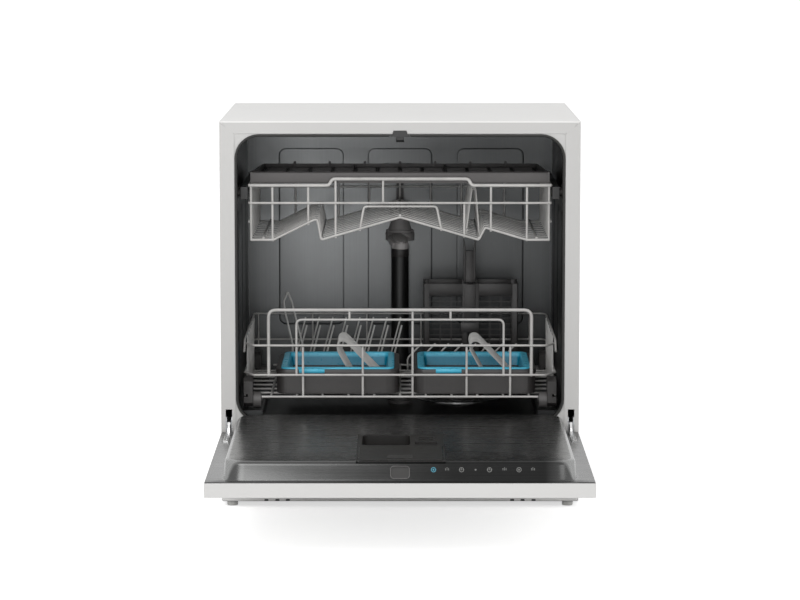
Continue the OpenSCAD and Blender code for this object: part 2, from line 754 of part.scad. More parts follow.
module detergent_cover() {
  color([0.36, 0.36, 0.36]) in_cabinet() {
    union() {
      block([-58, -419.5, liner_z + 1.1], [60, -303, liner_z + 2.0]);
      for (k = [0 : 4])
        block([-18, -404 + 5 * k, liner_z + 1.6], [18, -402 + 5 * k, liner_z + 2.3]);
    }
  }
}

module rinse_cap() {
  color([0.22, 0.22, 0.22]) in_cabinet() translate([rinse_at[0], rinse_at[1], 0]) difference() {
    union() {
      translate([0, 0, liner_z - 11]) cylinder(r = 7.6, h = 9, $fn = fine);
      translate([0, 0, liner_z - 3.6]) cylinder(r = 15.6, h = 4.2, $fn = fine);
    }
    for (s = [-1, 1])
      translate([0, 7.5 * s, liner_z + 0.8]) cube([22, 7, 5], center = true);
  }
}

// ---- Upper rack ----

function tent(y) = [for (p = [
  [-cage_half + 2, crown_z - 2], [-cage_half + 2, cage_z], [-195, cage_z], [-132, 441], [-127, 441], [-121, cage_z],
  [0, 445], [121, cage_z], [131, 429], [195, cage_z], [cage_half - 2, cage_z], [cage_half - 2, crown_z - 2]
]) [p[0], y, p[1]]];

module upper_rack_base() {
  pitch = (upper_d - 28) / 9;
  color("silver") in_cabinet() union() {
    for (k = [0 : 9])
      wire(tent(rack_front + 14 + pitch * k), [0, 1, 0]);
    for (p = [[-210, cage_z], [-121, cage_z], [0, 445], [121, cage_z], [210, cage_z]])
      rod([p[0], rack_front, p[1] + 2.9], [p[0], upper_back, p[1] + 2.9]);
  }
}

function at_y(points, y) = [for (p = points) [p[0], y, p[1]]];

module upper_rack_front() {
  y = rack_front;
  crest = crown_z + 10;
  color("silver") in_cabinet() union() {
    wire(bent(at_y([[-cage_half - 1, crown_z], [-116, crown_z], [-106, crest], [107, crest], [117, crown_z],
      [cage_half + 1, crown_z]], y), 6), [0, 1, 0], rim_r, 8);
    rod([-cage_half, y - 1.2, belt_z], [cage_half, y - 1.2, belt_z]);
    for (v = [[-196, cage_z - 2], [-141, 433], [-99, 413], [139.7, 423], [195, cage_z - 2]])
      rod([v[0], y + 1.2, v[1]], [v[0], y + 1.2, v[0] == -99 ? crest : crown_z]);
    rod([98.8, y + 1.2, 414], [98.8, y + 1.2, belt_z]);
    rod([-26, y + 1.2, belt_z], [-26, y + 1.2, crest]);
    wire(bent(at_y([[-62, 424], [-55.3, 461.5], [56.2, 461.5], [64, 424]], y + 1.2), 5), [0, 1, 0]);
    wire(at_y([[-cage_half + 2, cage_z], [-195, cage_z], [-132, 441], [-127, 441], [-121, cage_z], [0, 445],
      [121, cage_z], [131, 429], [195, cage_z], [cage_half - 2, cage_z]], y), [0, 1, 0]);
    for (s = [-1, 1])
      rod([s * (cage_half - 2), y, cage_z - 1], [s * (cage_half - 2), y, crown_z]);
  }
}

// Rims, belts and uprights of the upper rack's back and sides.
module upper_rack_surround() {
  y = upper_back;
  color("silver") in_cabinet() union() {
    rod([-cage_half - 1, y, crown_z], [cage_half + 1, y, crown_z], rim_r);
    rod([-cage_half, y + 1.2, belt_z], [cage_half, y + 1.2, belt_z]);
    wire(at_y([[-cage_half + 2, cage_z], [-195, cage_z], [-132, 441], [-127, 441], [-121, cage_z], [0, 445],
      [121, cage_z], [131, 429], [195, cage_z], [cage_half - 2, cage_z]], y), [0, 1, 0]);
    for (v = [[-229, cage_z], [-170, 422], [-100, 416], [-50, 431], [0, 444], [50, 431], [100, 416], [170, 417],
      [229, cage_z]])
      rod([v[0], y - 1.2, v[1] - 1], [v[0], y - 1.2, crown_z]);
    both_sides() {
      rod([cage_half, rack_front + 3, crown_z], [cage_half, y, crown_z], rim_r);
      for (z = [belt_z, 438])
        rod([cage_half + 0.6, rack_front + 3, z], [cage_half + 0.6, y, z]);
    }
  }
}

// Open channel at each side that runs over the rollers, with a stop at each end.
module upper_rack_rails() {
  web = 1.2;
  gap = roller_r + slack;
  high = rail_x + 10.4;
  color("gainsboro") in_cabinet() both_sides() {
    block([rail_x, rack_front - 2, roller_z - gap - web], [rail_x + web, upper_back, roller_z + gap + web]);
    for (s = [-1, 1])
      block([rail_x, rack_front - 2, roller_z + s * (gap + web / 2) - web / 2],
        [high, upper_back, roller_z + s * (gap + web / 2) + web / 2]);
    block([rail_x, rack_front - 2.4, roller_z - gap - web], [high + 0.4, rack_front + 2.5, roller_z + gap + web]);
    block([rail_x, upper_back - 3, roller_z - gap - web], [high + 0.4, upper_back, roller_z + gap + web]);
    for (y = [rack_front + 40, upper_back - 40])
      block([cage_half, y - 8, roller_z + 2], [rail_x + 0.4, y + 8, roller_z + 8.5]);
  }
}

module glass_fins() {
  color("silver") in_cabinet() union() {
    for (k = [0 : 8])
      wire(bent(at_y([[102, 416], [111, 486], [117, 486], [123, 412]], rack_front + 28 + 29 * k), 2.5, 1),
        [0, 1, 0], 1.5);
    rod([103.6, rack_front + 10, 424], [103.6, upper_back - 10, 424], 1.5);
  }
}

// Water pipe under the crest of the rack, from the docking nozzle to the arm's hub.
module feed_pipe() {
  z = 426;
  end = 351.5;
  color("gray") in_cabinet() difference() {
    union() {
      translate([0, arm_y, z]) rotate([-90, 0, 0]) cylinder(r = 8, h = end - 8 - arm_y, $fn = fine);
      translate([0, end - 8.5, z]) rotate([-90, 0, 0]) cylinder(r1 = 11, r2 = 9, h = 14, $fn = fine);
      translate([0, arm_y, 406]) cylinder(r = 22, h = 3.6, $fn = fine);
      translate([0, arm_y, 409.5]) cylinder(r1 = 19, r2 = 12, h = 20, $fn = fine);
      translate([0, arm_y, 389]) cylinder(r = 9, h = 20, $fn = fine);
      translate([0, arm_y, 386]) cylinder(r1 = 10, r2 = 14, h = 6.8, $fn = fine);
      for (y = [190, 278])
        block([-7, y, z], [7, y + 10, 444]);
    }
    translate([0, arm_y, z]) rotate([-90, 0, 0]) cylinder(r = 5.5, h = 200, $fn = fine);
    translate([0, arm_y, 395]) cylinder(r = 6, h = 32, $fn = fine);
  }
}

module upper_spray_arm() {
  color("dimgray") in_cabinet() translate([0, arm_y, 0]) rotate(90)
    spray_wings(158, 393.2, 405.6, 9 + pin_gap);
}

module cutlery_tray() {
  z = crown_z + rim_r + 0.6;
  front = rack_front + 4;
  back = 318;
  wall_h = 17;
  outline = [[-230, front], [230, front], [222, back], [-222, back]];
  inner = [[-227.5, front + 3], [227.5, front + 3], [219.5, back - 2.5], [-219.5, back - 2.5]];
  rows = 5;
  columns = 12;
  row_d = (back - front - 12) / rows;
  column_w = 428 / columns;
  color([0.33, 0.32, 0.32]) in_cabinet() difference() {
    union() {
      difference() {
        translate([0, 0, z]) linear_extrude(wall_h) polygon(outline);
        translate([0, 0, z + 2]) linear_extrude(wall_h) polygon(inner);
      }
      for (x = [-73, 73])
        block([x - 1.25, front + 1, z + 1], [x + 1.25, back - 1, z + 12]);
      for (k = [-3 : 3])
        block([k * 57 - 2, back - 5, z + 10], [k * 57 + 2, back - 1, z + wall_h + 5]);
      block([-227, front, z + wall_h - 2], [227, front + 12, z + wall_h]);
    }
    for (r = [0 : rows - 1], c = [0 : columns - 1])
      translate([(c + 0.5) * column_w - 214, front + 16 + (r + 0.5) * (row_d - 3), z - 1])
        translate([-column_w / 2 + 3, -row_d / 2 + 4, 0]) cube([column_w - 6, row_d - 10, 4]);
    for (c = [0 : columns - 1])
      translate([(c + 0.5) * column_w - 214 - 13, front + 4, z + wall_h - 4]) cube([26, 5, 6]);
  }
}

// ---- Lower rack ----

module lower_rack_base() {
  color("silver") in_cabinet() union() {
    for (x = [-200 : 40 : 200])
      rod([x, rack_front, low_z], [x, lower_back, low_z]);
    for (y = [92, 134, 176, 218, 262, 306, 330])
      rod([-rack_half, y, low_z - 2.7], [rack_half, y, low_z - 2.7]);
    // tall hairpin that stands at the left behind the wash boxes
    wire(bent(at_y([[-162, low_z], [-159, 215], [-178, 300], [-187, 296], [-174, 215], [-176, low_z]],
      rack_front + 221), 4), [0, 1, 0]);
    rod([-180, rack_front + 221, low_z - 1], [-158, rack_front + 221, low_z - 1]);
  }
}

module lower_rack_front() {
  y = rack_front;
  color("silver") in_cabinet() union() {
    for (z = [rim_z, mid_z])
      wire([[-rack_half, y + 28, z], [-226, y, z], [226, y, z], [rack_half, y + 28, z]], [0, 0, 1]);
    rod([-214, y, low_z], [214, y, low_z]);
    for (v = [-150, -57.6, 19.4, 103, 170.4])
      rod([v, y + 2.4, low_z - 1], [v, y + 2.4, rim_z + 1]);
    wire(bent(at_y([[-203, mid_z - 2], [-203, grip_z], [203, grip_z], [203, mid_z - 2]], y + 1.5), 12, 3),
      [0, 1, 0], rim_r, 8);
    wire(bent(at_y([[-160, mid_z - 2], [-160, grip_z - 15], [160, grip_z - 15], [160, mid_z - 2]], y + 1.5), 9),
      [0, 1, 0]);
    for (x = [-78, 78])
      rod([x, y + 1.5, grip_z - 15], [x, y + 1.5, grip_z]);
  }
}

module lower_rack_back() {
  y = lower_back;
  color("silver") in_cabinet() union() {
    wire(bent([[-rack_half, y - 30, side_z], [-rack_half, y, side_z], [rack_half, y, side_z],
      [rack_half, y - 30, side_z]], 12), [0, 0, 1]);
    wire(bent([[-rack_half, y - 30, mid_z], [-rack_half, y, mid_z], [rack_half, y, mid_z],
      [rack_half, y - 30, mid_z]], 12), [0, 0, 1]);
    rod([-210, y, low_z], [210, y, low_z]);
    for (k = [-4 : 4])
      rod([k * 50, y - 2.4, low_z - 1], [k * 50, y - 2.4, side_z + 1]);
  }
}

module lower_rack_sides() {
  near = rack_front + 28;
  far = lower_back - 30;
  color("silver") in_cabinet() both_sides() union() {
    wire([[rack_half, near - 22, rim_z - 10], [rack_half, near, side_z], [rack_half, far, side_z]], [1, 0, 0]);
    rod([rack_half, near, mid_z], [rack_half, far, mid_z]);
    rod([rack_half, near - 6, low_z], [rack_half, far + 6, low_z]);
    for (k = [0 : 5]) {
      rod([rack_half - 2.4, near + 22 + 42 * k, low_z - 1], [rack_half - 2.4, near + 22 + 42 * k, mid_z]);
      rod([rack_half - 2.4, near + 22 + 42 * k, mid_z - 1], [rack_half - 2.4, near + 40 + 42 * k, side_z + 1]);
    }
  }
}

// Plastic carrier of one wheel at the right: a clip on the side wires and an axle.
module wheel_carrier(y) {
  x = wheel_x + wheel_w + 0.5;
  profile = [[y - 16, wheel_z - 3], [y - 7, wheel_z - 9], [y + 7, wheel_z - 9], [y + 16, wheel_z - 3],
    [y + 16, low_z + 22], [y + 10, low_z + 28], [y - 10, low_z + 28], [y - 16, low_z + 22]];
  difference() {
    union() {
      side_profile(profile, x, x + 14);
      bar_x(wheel_x - 2, x + 1, y, wheel_z, 4);
      bar_x(wheel_x - 2, wheel_x - 0.6, y, wheel_z, 5.5);
    }
    // grooves for the rack's wires
    block([rack_half - 5, y - 20, low_z - 2.1], [rack_half + 10, y + 20, low_z + 2.1]);
    side_profile([[y - 9, wheel_z + 4], [y + 9, wheel_z + 4], [y + 9, low_z - 4], [y - 9, low_z - 4]], x + 11, x + 15);
    for (k = [-1, 1])
      block([x + 12, y + 9 * k - 2, low_z + 6], [x + 15, y + 9 * k + 2, low_z + 30]);
  }
}

module wheel_carriers() {
  color([0.3, 0.3, 0.3]) in_cabinet() both_sides() for (y = wheel_ys) wheel_carrier(y);
}

// A rack wheel at the right with a hub and a hollowed face.
module wheel(y) {
  translate([wheel_x, y, wheel_z]) rotate([0, 90, 0]) difference() {
    cylinder(r = wheel_r, h = wheel_w, $fn = fine);
    translate([0, 0, -1]) cylinder(r = 4 + pin_gap, h = wheel_w + 2, $fn = fine);
    translate([0, 0, -1]) difference() {
      cylinder(r = wheel_r - 2, h = 4, $fn = fine);
      cylinder(r = 6.5, h = 5, $fn = fine);
    }
    for (k = [0 : 5])
      rotate(60 * k) translate([8.2, 0, -1]) cylinder(r = 1.2, h = wheel_w + 2, $fn = 16);
  }
}

module front_left_wheel() {
  color([0.36, 0.36, 0.36]) in_cabinet() mirror([1, 0, 0]) wheel(wheel_ys[0]);
}

module front_right_wheel() {
  color([0.36, 0.36, 0.36]) in_cabinet() wheel(wheel_ys[0]);
}

module back_left_wheel() {
  color([0.36, 0.36, 0.36]) in_cabinet() mirror([1, 0, 0]) wheel(wheel_ys[1]);
}

module back_right_wheel() {
  color([0.36, 0.36, 0.36]) in_cabinet() wheel(wheel_ys[1]);
}

tine_z = low_z + 4.2; // axis of the folding tines

// Pairs of leaning tines on a round base wire along X.
module tine_row(xs, y, height, lean) {
  for (x = xs) {
    rod([x, y, tine_z], [x + lean, y, tine_z + height], 1.6);
    rod([x + 5, y, tine_z], [x + 7, y - 9, tine_z + 6], 1.6);
    rod([x + 7, y - 9, tine_z + 5], [x + lean + 3, y - 9, tine_z + height - 8], 1.6);
  }
  translate([xs[0] - 8, y, tine_z]) rotate([0, 90, 0])
    cylinder(r = 2, h = xs[len(xs) - 1] - xs[0] + 18, $fn = 24);
}

plate_y = 283;
bowl_y = 260;

module plate_tines() {
  color("silver") in_cabinet() tine_row([for (k = [0 : 8]) -166 + 20.5 * k], plate_y, 84, 20);
}

module bowl_tines() {
  color("silver") in_cabinet() union() {
    for (k = [0 : 9])
      rod([22 + 19 * k, bowl_y, tine_z], [34 + 19 * k, bowl_y, tine_z + 40], 1.6);
    translate([14, bowl_y, tine_z]) rotate([0, 90, 0]) cylinder(r = 2, h = 196, $fn = 24);
  }
}

// Open box with rounded upright corners, its middle in plan at the origin.
module wash_box() {
  difference() {
    lying(box_w, box_d, 20, 0, box_h);
    lying(box_w - 5, box_d - 5, 17.5, 2.2, box_h + 1);
  }
}

module wash_boxes() {
  color([0.28, 0.28, 0.28]) in_cabinet() for (x = box_xs)
    translate([x, box_y + box_d / 2, box_z]) wash_box();
}

// Frame that hangs in a wash box: a rim, sloping walls and a pierced floor.
module wash_insert() {
  top = box_h + 3;
  deep = 9;
  difference() {
    union() {
      lying(box_w - 6, box_d - 6, 17, deep, top - 1);
      lying(box_w - 1, box_d - 1, 19.5, top - 2.9, top);
      // catch that hooks over the front wall
      side_profile([[-box_d / 2 - 2, top - 10], [-box_d / 2 - slack, top - 10], [-box_d / 2 - slack, top - 2.9],
        [-box_d / 2 + 4, top - 2.9], [-box_d / 2 + 4, top], [-box_d / 2 - 2, top]], -62, -20);
    }
    lying(box_w - 22, box_d - 22, 12, deep + 2, top + 1);
    for (r = [-4 : 4])
      block([-box_w / 2 + 22, r * 18 - 4, deep - 1], [box_w / 2 - 22, r * 18 + 4, deep + 3]);
  }
}

module wash_inserts() {
  color([0.3, 0.68, 0.84]) in_cabinet() for (x = box_xs)
    translate([x, box_y + box_d / 2, box_z]) wash_insert();
}

// Wires of one insert: two long ones along X and a row of leaning fins along Y.
module fin_comb(x, shift) {
  floor_z = box_z + 15;
  for (y = [box_y + 36, box_y + 64, box_y + 92, box_y + 120])
    rod([x - 84.5, y, floor_z], [x + 84.5, y, floor_z], 1.3);
  for (k = [0 : 9])
    wire(bent(at_y([[x + 23 + shift, floor_z], [x - 1 + shift, floor_z + 56], [x + 8 + shift, floor_z + 63],
      [x + 66 + shift, floor_z]], box_y + 31 + 11 * k), 4), [0, 1, 0], 1.3);
  for (dx = [23, 66])
    rod([x + dx + shift, box_y + 24, floor_z - 1.2], [x + dx + shift, box_y + 138, floor_z - 1.2], 1.3);
}

module fin_combs() {
  color("silver") in_cabinet() for (k = [0, 1]) fin_comb(box_xs[k], -5 * k);
}

// Basket of two bins with a tall handle between them. The lattice of its walls is in the visual model.
module cutlery_basket() {
  wall = 2;
  bin_w = (basket_w - 16) / 2;
  color([0.45, 0.44, 0.44]) in_cabinet() translate([basket_at[0], basket_at[1], box_z]) difference() {
    union() {
      block([-basket_w / 2, -basket_d / 2, 0], [basket_w / 2, basket_d / 2, basket_h]);
      block([-8, -7, basket_h - 1], [8, 7, basket_h + 62]);
    }
    for (s = [-1, 1])
      translate([s * (bin_w + 12) / 2, 0, 0])
        block([-bin_w / 2, -basket_d / 2 + wall, wall], [bin_w / 2, basket_d / 2 - wall, basket_h + 1]);
    // gap between the bins
    for (s = [-1, 1])
      block([-4, s > 0 ? 7 : -basket_d / 2 - 1, 12], [4, s > 0 ? basket_d / 2 + 1 : -7, basket_h + 1]);
    // grip hole
    block([-4, -10, basket_h + 34], [4, 10, basket_h + 56]);
  }
}

worktop();
left_side_panel();
right_side_panel();
rear_panel();
base_tray();
kick_plate();
feet();
tub();
wheel_tracks();
door_gasket();
latch_housing();
latch_tongue();
hinge_brackets();
hinge_springs();
roller_posts();
front_left_roller();
front_right_roller();
back_left_roller();
back_right_roller();
water_tube();
docking_funnel();
sump();
filter_plate();
filter_cup();
salt_cap();
spray_arm_post();
lower_spray_arm();
circulation_pump();
drain_pump();
inlet_valve();
cable_gland();
door_outer_panel();
door_liner();
hinge_arms();
dispenser_body();
detergent_cover();
rinse_cap();
upper_rack_base();
upper_rack_front();
upper_rack_surround();
upper_rack_rails();
glass_fins();
feed_pipe();
upper_spray_arm();
cutlery_tray();
lower_rack_base();
lower_rack_front();
lower_rack_back();
lower_rack_sides();
wheel_carriers();
front_left_wheel();
front_right_wheel();
back_left_wheel();
back_right_wheel();
plate_tines();
bowl_tines();
wash_boxes();
wash_inserts();
fin_combs();
cutlery_basket();
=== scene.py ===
"""Looks of a compact dishwasher that stands on a worktop, with its door open.

The solid frame comes packed; this script dresses it: it gives every piece its finish, and builds the pieces whose
real form is finer than the solids, such as the round rack wires, the pressed tub and the curved door liner.
"""

import json
import logging
import math
from dataclasses import dataclass, field
from enum import Enum
from typing import Any, Callable, Iterable, Sequence

import bmesh
import bpy
from mathutils import Matrix, Vector


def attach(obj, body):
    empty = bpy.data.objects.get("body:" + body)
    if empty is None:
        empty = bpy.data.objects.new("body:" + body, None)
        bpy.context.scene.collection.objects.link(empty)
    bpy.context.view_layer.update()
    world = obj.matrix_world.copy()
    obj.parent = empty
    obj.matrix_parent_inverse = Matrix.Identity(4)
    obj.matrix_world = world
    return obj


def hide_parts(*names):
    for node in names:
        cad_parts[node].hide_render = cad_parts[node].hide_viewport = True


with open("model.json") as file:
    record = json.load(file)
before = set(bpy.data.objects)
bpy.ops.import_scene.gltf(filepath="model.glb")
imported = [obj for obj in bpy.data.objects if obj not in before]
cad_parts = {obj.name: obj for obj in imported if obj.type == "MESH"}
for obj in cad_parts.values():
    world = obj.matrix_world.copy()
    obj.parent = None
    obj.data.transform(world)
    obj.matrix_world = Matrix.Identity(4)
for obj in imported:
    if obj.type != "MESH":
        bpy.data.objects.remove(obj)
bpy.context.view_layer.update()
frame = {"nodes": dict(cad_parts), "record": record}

log = logging.getLogger("dishwasher")

FRONT_Y = (436.0 - 465.0 - 14.0) / 2  # the cabinet's front plane in the row frame, in mm
MERGE = 0.0005  # points closer than this become one, in mm

Point = tuple[float, float, float]
Flat = tuple[float, float]
Place = Callable[[float, float, float], Point]  # turns a wall's (across, up, deep) into a point


def at(x: float, y: float, z: float) -> Vector:
    """Turns cabinet millimetres into metres in the row frame.

    Args:
        x: Millimetres to the right of the centre line.
        y: Millimetres behind the front flanges.
        z: Millimetres above the floor.

    Returns:
        The same point in metres.
    """
    return Vector((x, y + FRONT_Y, z)) / 1000.0


def rounded_outline(width: float, height: float, radius: float, steps: int = 8) -> list[Flat]:
    """Gives the corner points of a rounded rectangle about the origin.

    Args:
        width: Full width.
        height: Full height.
        radius: Corner radius.
        steps: Number of edges in each corner.

    Returns:
        Points in order, anticlockwise.
    """
    points: list[Flat] = []
    for quarter in range(4):
        side = 1 if quarter in (0, 3) else -1
        rise = 1 if quarter < 2 else -1
        for k in range(steps + 1):
            a = math.radians(90 * quarter + 90 * k / steps)
            points.append((side * (width / 2 - radius) + radius * math.cos(a),
                           rise * (height / 2 - radius) + radius * math.sin(a)))
    return points


def bend(path: Sequence[Point], radius: float, steps: int = 4) -> list[Vector]:
    """Rounds the corners of a wire's path.

    Args:
        path: The straight runs' end points.
        radius: How far from a corner its bend begins.
        steps: Number of edges in each bend.

    Returns:
        The path with a smooth bend in place of each corner.
    """
    pts = [Vector(p) for p in path]
    out = [pts[0]]
    for before, corner, after in zip(pts, pts[1:], pts[2:]):
        back, ahead = before - corner, after - corner
        r = min(radius, back.length * 0.49, ahead.length * 0.49)
        a, b = corner + back.normalized() * r, corner + ahead.normalized() * r
        for k in range(steps + 1):
            t = k / steps
            out.append(a * (1 - t) ** 2 + corner * 2 * t * (1 - t) + b * t * t)
    out.append(pts[-1])
    return out


# ---------------------------------------------------------------- shader sums


class Value:
    """A shader socket that can be used in Python sums."""

    def __init__(self, graph: "Graph", socket: bpy.types.NodeSocket) -> None:
        """Keeps the socket and the graph it belongs to."""
        self.graph = graph
        self.socket = socket

    def _sum(self, operation: str, first: Any, second: Any) -> "Value":
        """Adds one Math node and returns its result."""
        made = self.graph.node("ShaderNodeMath", {"operation": operation}, {0: first, 1: second})
        return Value(self.graph, made.outputs[0])

    def __add__(self, other: Any) -> "Value":
        """Sum."""
        return self._sum("ADD", self, other)

    __radd__ = __add__

    def __mul__(self, other: Any) -> "Value":
        """Product."""
        return self._sum("MULTIPLY", self, other)

    __rmul__ = __mul__


class Graph:
    """A material and its nodes."""

    def __init__(self, name: str) -> None:
        """Makes an empty material with one Principled shader."""
        self.material = bpy.data.materials.new(name)
        self.material.use_nodes = True
        self.tree = self.material.node_tree
        self.tree.nodes.clear()
        self.output = self.tree.nodes.new("ShaderNodeOutputMaterial")
        self.shader = self.tree.nodes.new("ShaderNodeBsdfPrincipled")
        self.tree.links.new(self.shader.outputs[0], self.output.inputs[0])
        self._coords = self.tree.nodes.new("ShaderNodeTexCoord")

    def put(self, socket: bpy.types.NodeSocket, value: Any) -> None:
        """Links or sets one input.

        Args:
            socket: The input.
            value: A Value, a socket, or plain numbers.
        """
        if isinstance(value, Value):
            self.tree.links.new(value.socket, socket)
        elif isinstance(value, bpy.types.NodeSocket):
            self.tree.links.new(value, socket)
        else:
            if socket.type == "RGBA" and len(value) == 3:
                value = (*value, 1.0)
            socket.default_value = value

    def node(self, kind: str, settings: dict[str, Any] | None = None,
             inputs: dict[Any, Any] | None = None) -> bpy.types.Node:
        """Adds a node.

        Args:
            kind: The node's type.
            settings: Its own settings, set before its inputs.
            inputs: Values or links by socket name or number.

        Returns:
            The new node.
        """
        made = self.tree.nodes.new(kind)
        for key, value in (settings or {}).items():
            if key == "stops":
                ramp = made.color_ramp
                while len(ramp.elements) < len(value):
                    ramp.elements.new(0.5)
                for stop, (place, colour) in zip(ramp.elements, value):
                    stop.position = place
                    stop.color = (*colour, 1.0) if len(colour) == 3 else colour
            else:
                setattr(made, key, value)
        for key, value in (inputs or {}).items():
            self.put(made.inputs[key], value)
        return made

    def place(self, scale: Point = (1.0, 1.0, 1.0)) -> Value:
        """The point on the object, stretched for a pattern."""
        made = self.node("ShaderNodeMapping", {}, {"Vector": self._coords.outputs["Object"], "Scale": scale})
        return Value(self, made.outputs[0])

    def along(self, axis: int, low: float, high: float) -> Value:
        """How far a point lies between two places on an axis, from 0 to 1, in metres."""
        split = self.node("ShaderNodeSeparateXYZ", {}, {0: self._coords.outputs["Object"]})
        made = self.node("ShaderNodeMapRange", {}, {"Value": split.outputs[axis], "From Min": low, "From Max": high})
        return Value(self, made.outputs[0])

    def noise(self, scale: float, detail: float = 3.0, stretch: Point = (1.0, 1.0, 1.0), rough: float = 0.55) -> Value:
        """A soft cloud pattern from 0 to 1, about `scale` blotches to the metre."""
        made = self.node("ShaderNodeTexNoise", {}, {"Vector": self.place(stretch), "Scale": scale, "Detail": detail,
                                                    "Roughness": rough})
        return Value(self, made.outputs[0])

    def grains(self, scale: float, stretch: Point = (1.0, 1.0, 1.0)) -> Value:
        """Distance to the nearest of many scattered points."""
        made = self.node("ShaderNodeTexVoronoi", {}, {"Vector": self.place(stretch), "Scale": scale})
        return Value(self, made.outputs[0])

    def ramp(self, value: Any, stops: Sequence[tuple[float, Sequence[float]]]) -> Value:
        """A colour picked by a value from 0 to 1."""
        return Value(self, self.node("ShaderNodeValToRGB", {"stops": stops}, {0: value}).outputs[0])

    # Paints light and shade into a colour along one axis.
    def toned(self, colour: Value, axis: int, span: Flat, painted_light_tones: Sequence[tuple[float, Point]]) -> Value:
        """Multiplies a colour by tones that change along an axis.

        Args:
            colour: The colour.
            axis: 0, 1 or 2 for X, Y or Z.
            span: Where the tones begin and end, in metres.
            painted_light_tones: Shares of the span, each with its factors for red, green and blue, up to 2;
            these paint light and shade.

        Returns:
            The toned colour.
        """
        halves = self.ramp(self.along(axis, *span), [(share, tint(tone, 0.5)) for share, tone in painted_light_tones])
        product = self.node("ShaderNodeVectorMath", {"operation": "MULTIPLY"}, {0: colour, 1: halves})
        made = self.node("ShaderNodeVectorMath", {"operation": "SCALE"}, {0: product.outputs[0], "Scale": 2.0})
        return Value(self, made.outputs[0])

    def bump(self, height: Any, strength: float, distance: float) -> None:
        """Gives the surface a relief.

        Args:
            height: The pattern, from 0 to 1.
            strength: How strongly it shows.
            distance: Its depth in metres.
        """
        made = self.node("ShaderNodeBump", {}, {"Strength": strength, "Distance": distance, "Height": height})
        self.put(self.shader.inputs["Normal"], made.outputs[0])

    def set(self, **sockets: Any) -> "Graph":
        """Sets the shader's inputs, with underscores for the spaces in their names."""
        for key, value in sockets.items():
            self.put(self.shader.inputs[key.replace("_", " ")], value)
        return self


def tint(colour: Sequence[float], by: float) -> tuple[float, float, float]:
    """A colour made lighter or darker by a factor."""
    return tuple(min(1.0, c * by) for c in colour[:3])


# ---------------------------------------------------------------- finishes


@dataclass(frozen=True)
class Enamel:
    """Sprayed white enamel on sheet steel."""

    name: str = "white_enamel"
    colour: Point = (0.79, 0.785, 0.77)
    roughness: float = 0.42

    def make(self) -> bpy.types.Material:
        """Builds the material."""
        g = Graph(self.name)
        cloud = g.noise(3.0, 4.0)
        peel = g.noise(900.0, 2.0)
        fine = g.noise(60.0, 3.0)
        colour = g.ramp(cloud, [(0.3, tint(self.colour, 0.97)), (0.7, tint(self.colour, 1.02))])
        g.set(Base_Color=colour, Roughness=self.roughness - 0.05 + 0.1 * fine, Specular_IOR_Level=0.5)
        g.put(g.shader.inputs["Coat Weight"], 0.08)
        g.put(g.shader.inputs["Coat Roughness"], 0.12)
        g.bump(peel, 0.06, 0.0002)
        return g.material


class Grain(Enum):
    """Which way the brushing of a sheet runs."""

    ACROSS = (3.0, 420.0, 420.0)
    DEEP = (420.0, 3.0, 420.0)
    UP = (420.0, 420.0, 3.0)


def grey(tone: float) -> Point:
    """The same factor for red, green and blue."""
    return (tone, tone, tone)


@dataclass(frozen=True)
class BrushedSteel:
    """Stainless sheet with fine straight brushing and faint water marks.

    Attributes:
        painted_light_tones: Shares of the width from left to right, each with a factor there: painted reflection
            and painted shade.
        reach: Half of the width that the painted light tones cover, in metres.
        foot: Painted shade: the factor in the lower part of a tall sheet.
        lip: Painted reflection and shade: the factors of the door's lip and of the sheet behind it.
    """

    name: str
    colour: Point
    roughness: float = 0.3
    grain: Grain = Grain.ACROSS
    marks: float = 0.15
    painted_light_tones: tuple[Flat, ...] = ((0.0, 1.0), (1.0, 1.0))
    reach: float = 0.252
    foot: float = 1.0
    foot_shade_levels: Flat = (0.25, 0.47)
    lip: Flat = (1.0, 1.0)
    lip_edge: Flat = (-0.4425, -0.4385)

    def make(self) -> bpy.types.Material:
        """Builds the material."""
        g = Graph(self.name)
        streak = g.noise(1.0, 4.0, self.grain.value, 0.7)
        broad = g.noise(5.0, 3.0)
        spot = g.noise(45.0, 4.0)
        light = 0.35 * streak + 0.45 * broad + self.marks * spot
        sheet = g.ramp(light, [(0.25, tint(self.colour, 0.82)), (0.75, tint(self.colour, 1.18))])
        # Painted reflection and shade: the steel lighter or darker from left to right.
        colour = g.toned(sheet, 0, (-self.reach, self.reach), [(share, grey(tone)) for share, tone in self.painted_light_tones])
        # Painted shade: darker in the lower part of the sheet.
        if self.foot != 1.0:
            colour = g.toned(colour, 2, self.foot_shade_levels, [(0.0, grey(self.foot)), (1.0, grey(1.0))])
        # Painted reflection and shade: the lip and the sheet behind it get factors of their own.
        if self.lip != (1.0, 1.0):
            colour = g.toned(colour, 1, self.lip_edge, [(0.0, grey(self.lip[0])), (1.0, grey(self.lip[1]))])
        g.set(Base_Color=colour, Metallic=1.0, Roughness=self.roughness - 0.08 + 0.16 * streak + 0.05 * spot)
        g.bump(streak, 0.12, 0.00015)
        return g.material


@dataclass(frozen=True)
class WireCoat:
    """Grey nylon coating on a rack's wires."""

    name: str = "nylon_coated_wire"
    colour: Point = (0.50, 0.49, 0.475)

    def make(self) -> bpy.types.Material:
        """Builds the material."""
        g = Graph(self.name)
        cloud = g.noise(35.0, 3.0)
        dimple = g.noise(1400.0, 2.0)
        colour = g.ramp(cloud, [(0.3, tint(self.colour, 0.86)), (0.7, tint(self.colour, 1.1))])
        g.set(Base_Color=colour, Roughness=0.3 + 0.14 * dimple)
        g.bump(dimple, 0.1, 0.0002)
        return g.material


